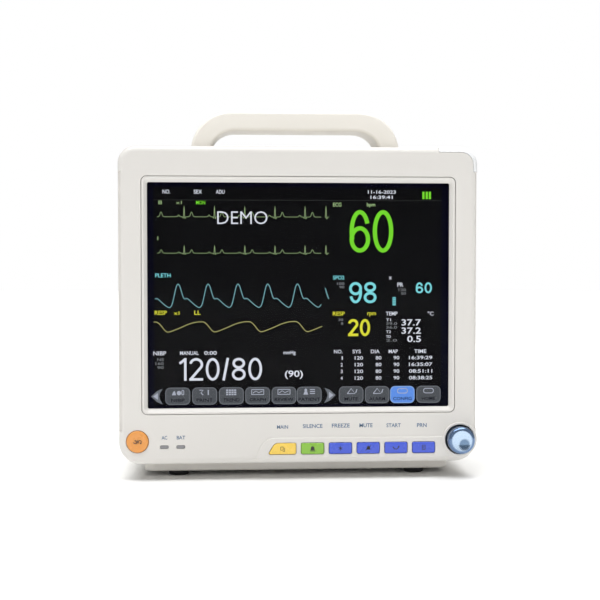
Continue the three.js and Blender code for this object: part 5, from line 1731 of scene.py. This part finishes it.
recorder_pivot, battery_pivot, PLATEN_AT = (PIN_X, 143.8), (PIN_X, 20.2), (143.6, 219)
front_y, back_y = BAY[0] + 0.4, BAY[1] - 0.4
door = mesh_object("recorder_flap", side_plate(front_y, back_y, recorder_pivot[1], 231.6, 1.2))
carve(door, rod(1.4, front_y, back_y, recorder_pivot, count=32), "UNION")
for y in (front_y, back_y - 2.4):
    carve(door, block(141, 151.1, y, y + 2.4, 214.4, 223.6, 1.2, 4, 0.3), "UNION")
carve(door, mouth(rounded_box(-12, 8, 218, 223, 2.2, steps=6), DOOR_OUT, -1, 1.2, 0.5, "x"))
paper_slot = rounded_box(front_y + 1.6, back_y - 1.6, 227.6, 229.4, 0.8, steps=4)
carve(door, mouth(paper_slot, DOOR_OUT, -1, 5, 0.3, "x"))
carve(door, rod(0.9, -40, 40, recorder_pivot, count=24))
carve(door, rod(2.2, -40, 40, PLATEN_AT, count=32))
place(door, REAR_CASING, "recorder_door", ["recorder_door"])

HATCH_LOW, HATCH_HIGH = 76.4, 131.6
hatch = mesh_object("battery_flap", side_plate(front_y, battery_pivot[1], HATCH_LOW, HATCH_HIGH, 0.8))
carve(hatch, rod(1.4, HATCH_LOW, HATCH_HIGH, battery_pivot, "z", 32), "UNION")
carve(hatch, mouth(rounded_box(-22, -16, 94, 114, 2.6, steps=6), DOOR_OUT, -1, 1.2, 0.5, "x"))
carve(hatch, rod(0.9, 60, 150, battery_pivot, "z", 24))
place(hatch, REAR_CASING, "battery_door", ["battery_door"])

# %% Roll, platen and pins
turns = np.linspace(6.9, 17.6, 22)
roll_profile = [(6.1, -25.0), (6.9, -25.0)]
roll_profile += [(r, -25.0 + 0.25 * (k % 2)) for k, r in enumerate(turns)]
roll_profile += [(18.0, -24.8), (18.0, 20.8)]
roll_profile += [(r, 21.0 - 0.25 * (k % 2)) for k, r in enumerate(turns[::-1])] + [(6.1, 21.0)]
ROLL_SIDES = 96
roll_points, roll_faces = lathe(roll_profile, (129, 162), count=ROLL_SIDES)
first = np.arange(ROLL_SIDES)
last = first + ROLL_SIDES * (len(roll_profile) - 1)
roll_faces += np.c_[last, np.roll(last, -1), np.roll(first, -1), first].tolist()
roll = mesh_object("paper_coil", (roll_points, roll_faces))
place(roll, PAPER, "paper_roll", ["paper_roll"])
platen_profile = [(0, -25.3), (1.7, -25.3), (2, -25), (2, -22.8), (4.6, -22.8), (5, -22.4), (5, 18.4)]
platen_profile += [(4.6, 18.8), (2, 18.8), (2, 21.0), (1.7, 21.3), (0, 21.3)]
platen = mesh_object("platen_tube", lathe(platen_profile, PLATEN_AT, count=48))
place(platen, RUBBER, "platen_roller", ["platen_roller"])


def hinge_pin(door_name, low, high, at, axis):
    """A thin steel pin with a small chamfer at each end."""
    profile = [(0, low), (0.6, low), (0.8, low + 0.2), (0.8, high - 0.2), (0.6, high), (0, high)]
    made = mesh_object(f"{door_name}_pin", lathe(profile, at, axis, 24))
    place(made, STEEL, instead_of=[f"{door_name}_hinge_pin"])


hinge_pin("recorder", -28.4, 24.4, recorder_pivot, "y")
hinge_pin("battery", 73.8, 134.2, battery_pivot, "z")
print("doors, roll and platen made")

# %% [markdown]
# ## Inner parts
#
# What the vents, sockets and open doors show inside is simple: trays, boards, a fan, a pump. Each is
# made from its own solid by merging its flat faces and rounding its edges.


# %% Refined copies
def refined(node, width):
    """A copy of a solid with flat faces merged and every edge over 30 degrees rounded by a small bevel."""
    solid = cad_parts[node]
    mesh = bpy.data.meshes.new(f"{node}_finished")
    built = bmesh.new()
    built.from_mesh(solid.data)
    bmesh.ops.transform(built, matrix=solid.matrix_world, verts=built.verts)
    bmesh.ops.remove_doubles(built, verts=built.verts, dist=1e-6)
    bmesh.ops.dissolve_limit(
        built, angle_limit=math.radians(1), verts=built.verts, edges=built.edges
    )
    built.to_mesh(mesh)
    built.free()
    made = bpy.data.objects.new(f"{node}_finished", mesh)
    scene.collection.objects.link(made)
    if width:
        soften(made, width)
    return made


INNER = (
    ("recorder_case", BLACK_PLASTIC, "black_plastic", 0.3, "monitor"),
    ("print_head", STEEL, "steel", 0.3, "monitor"),
    ("battery_bay", BLACK_PLASTIC, "black_plastic", 0.3, "monitor"),
    ("battery_pack", GREY_PLASTIC, "window_grey", 0.0, "monitor"),
    ("main_board", BOARD_GREEN, "board", 0.15, "monitor"),
    ("power_supply_board", BOARD_GREEN, "board", 0.15, "monitor"),
    ("parameter_module", STEEL, "steel", 0.3, "monitor"),
    ("cuff_pump", STEEL, "steel", 0.2, "monitor"),
    ("cooling_fan_case", BLACK_PLASTIC, "black_plastic", 0.25, "monitor"),
    ("cooling_fan_rotor", BLACK_PLASTIC, "black_plastic", 0.2, "cooling_fan_rotor"),
    ("speaker", BLACK_PLASTIC, "black_plastic", 0.15, "monitor"),
    ("alarm_light_board", BOARD_GREEN, "board", 0.1, "monitor"),
    ("key_board", BOARD_GREEN, "board", 0.1, "monitor"),
    ("power_button_board", BOARD_GREEN, "board", 0.1, "monitor"),
    ("lcd_bracket", STEEL, "steel", 0.2, "monitor"),
    ("encoder_body", STEEL, "steel", 0.15, "monitor"),
    ("encoder_shaft", STEEL, "steel", 0.1, "knob"),
    ("encoder_plunger", BLACK_PLASTIC, "black_plastic", 0.1, "encoder_push"),
)
for node, material, slot, width, body in INNER:
    place(refined(node, width), material, body, [node])
left = [name for name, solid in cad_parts.items() if not solid.hide_render]
print("solids still shown:", left)

# %% [markdown]
#
# The number of finished pieces is printed. The finished look has to fill the same box as the
# solids.

# %% Piece count
print("pieces made:", len(made_pieces))
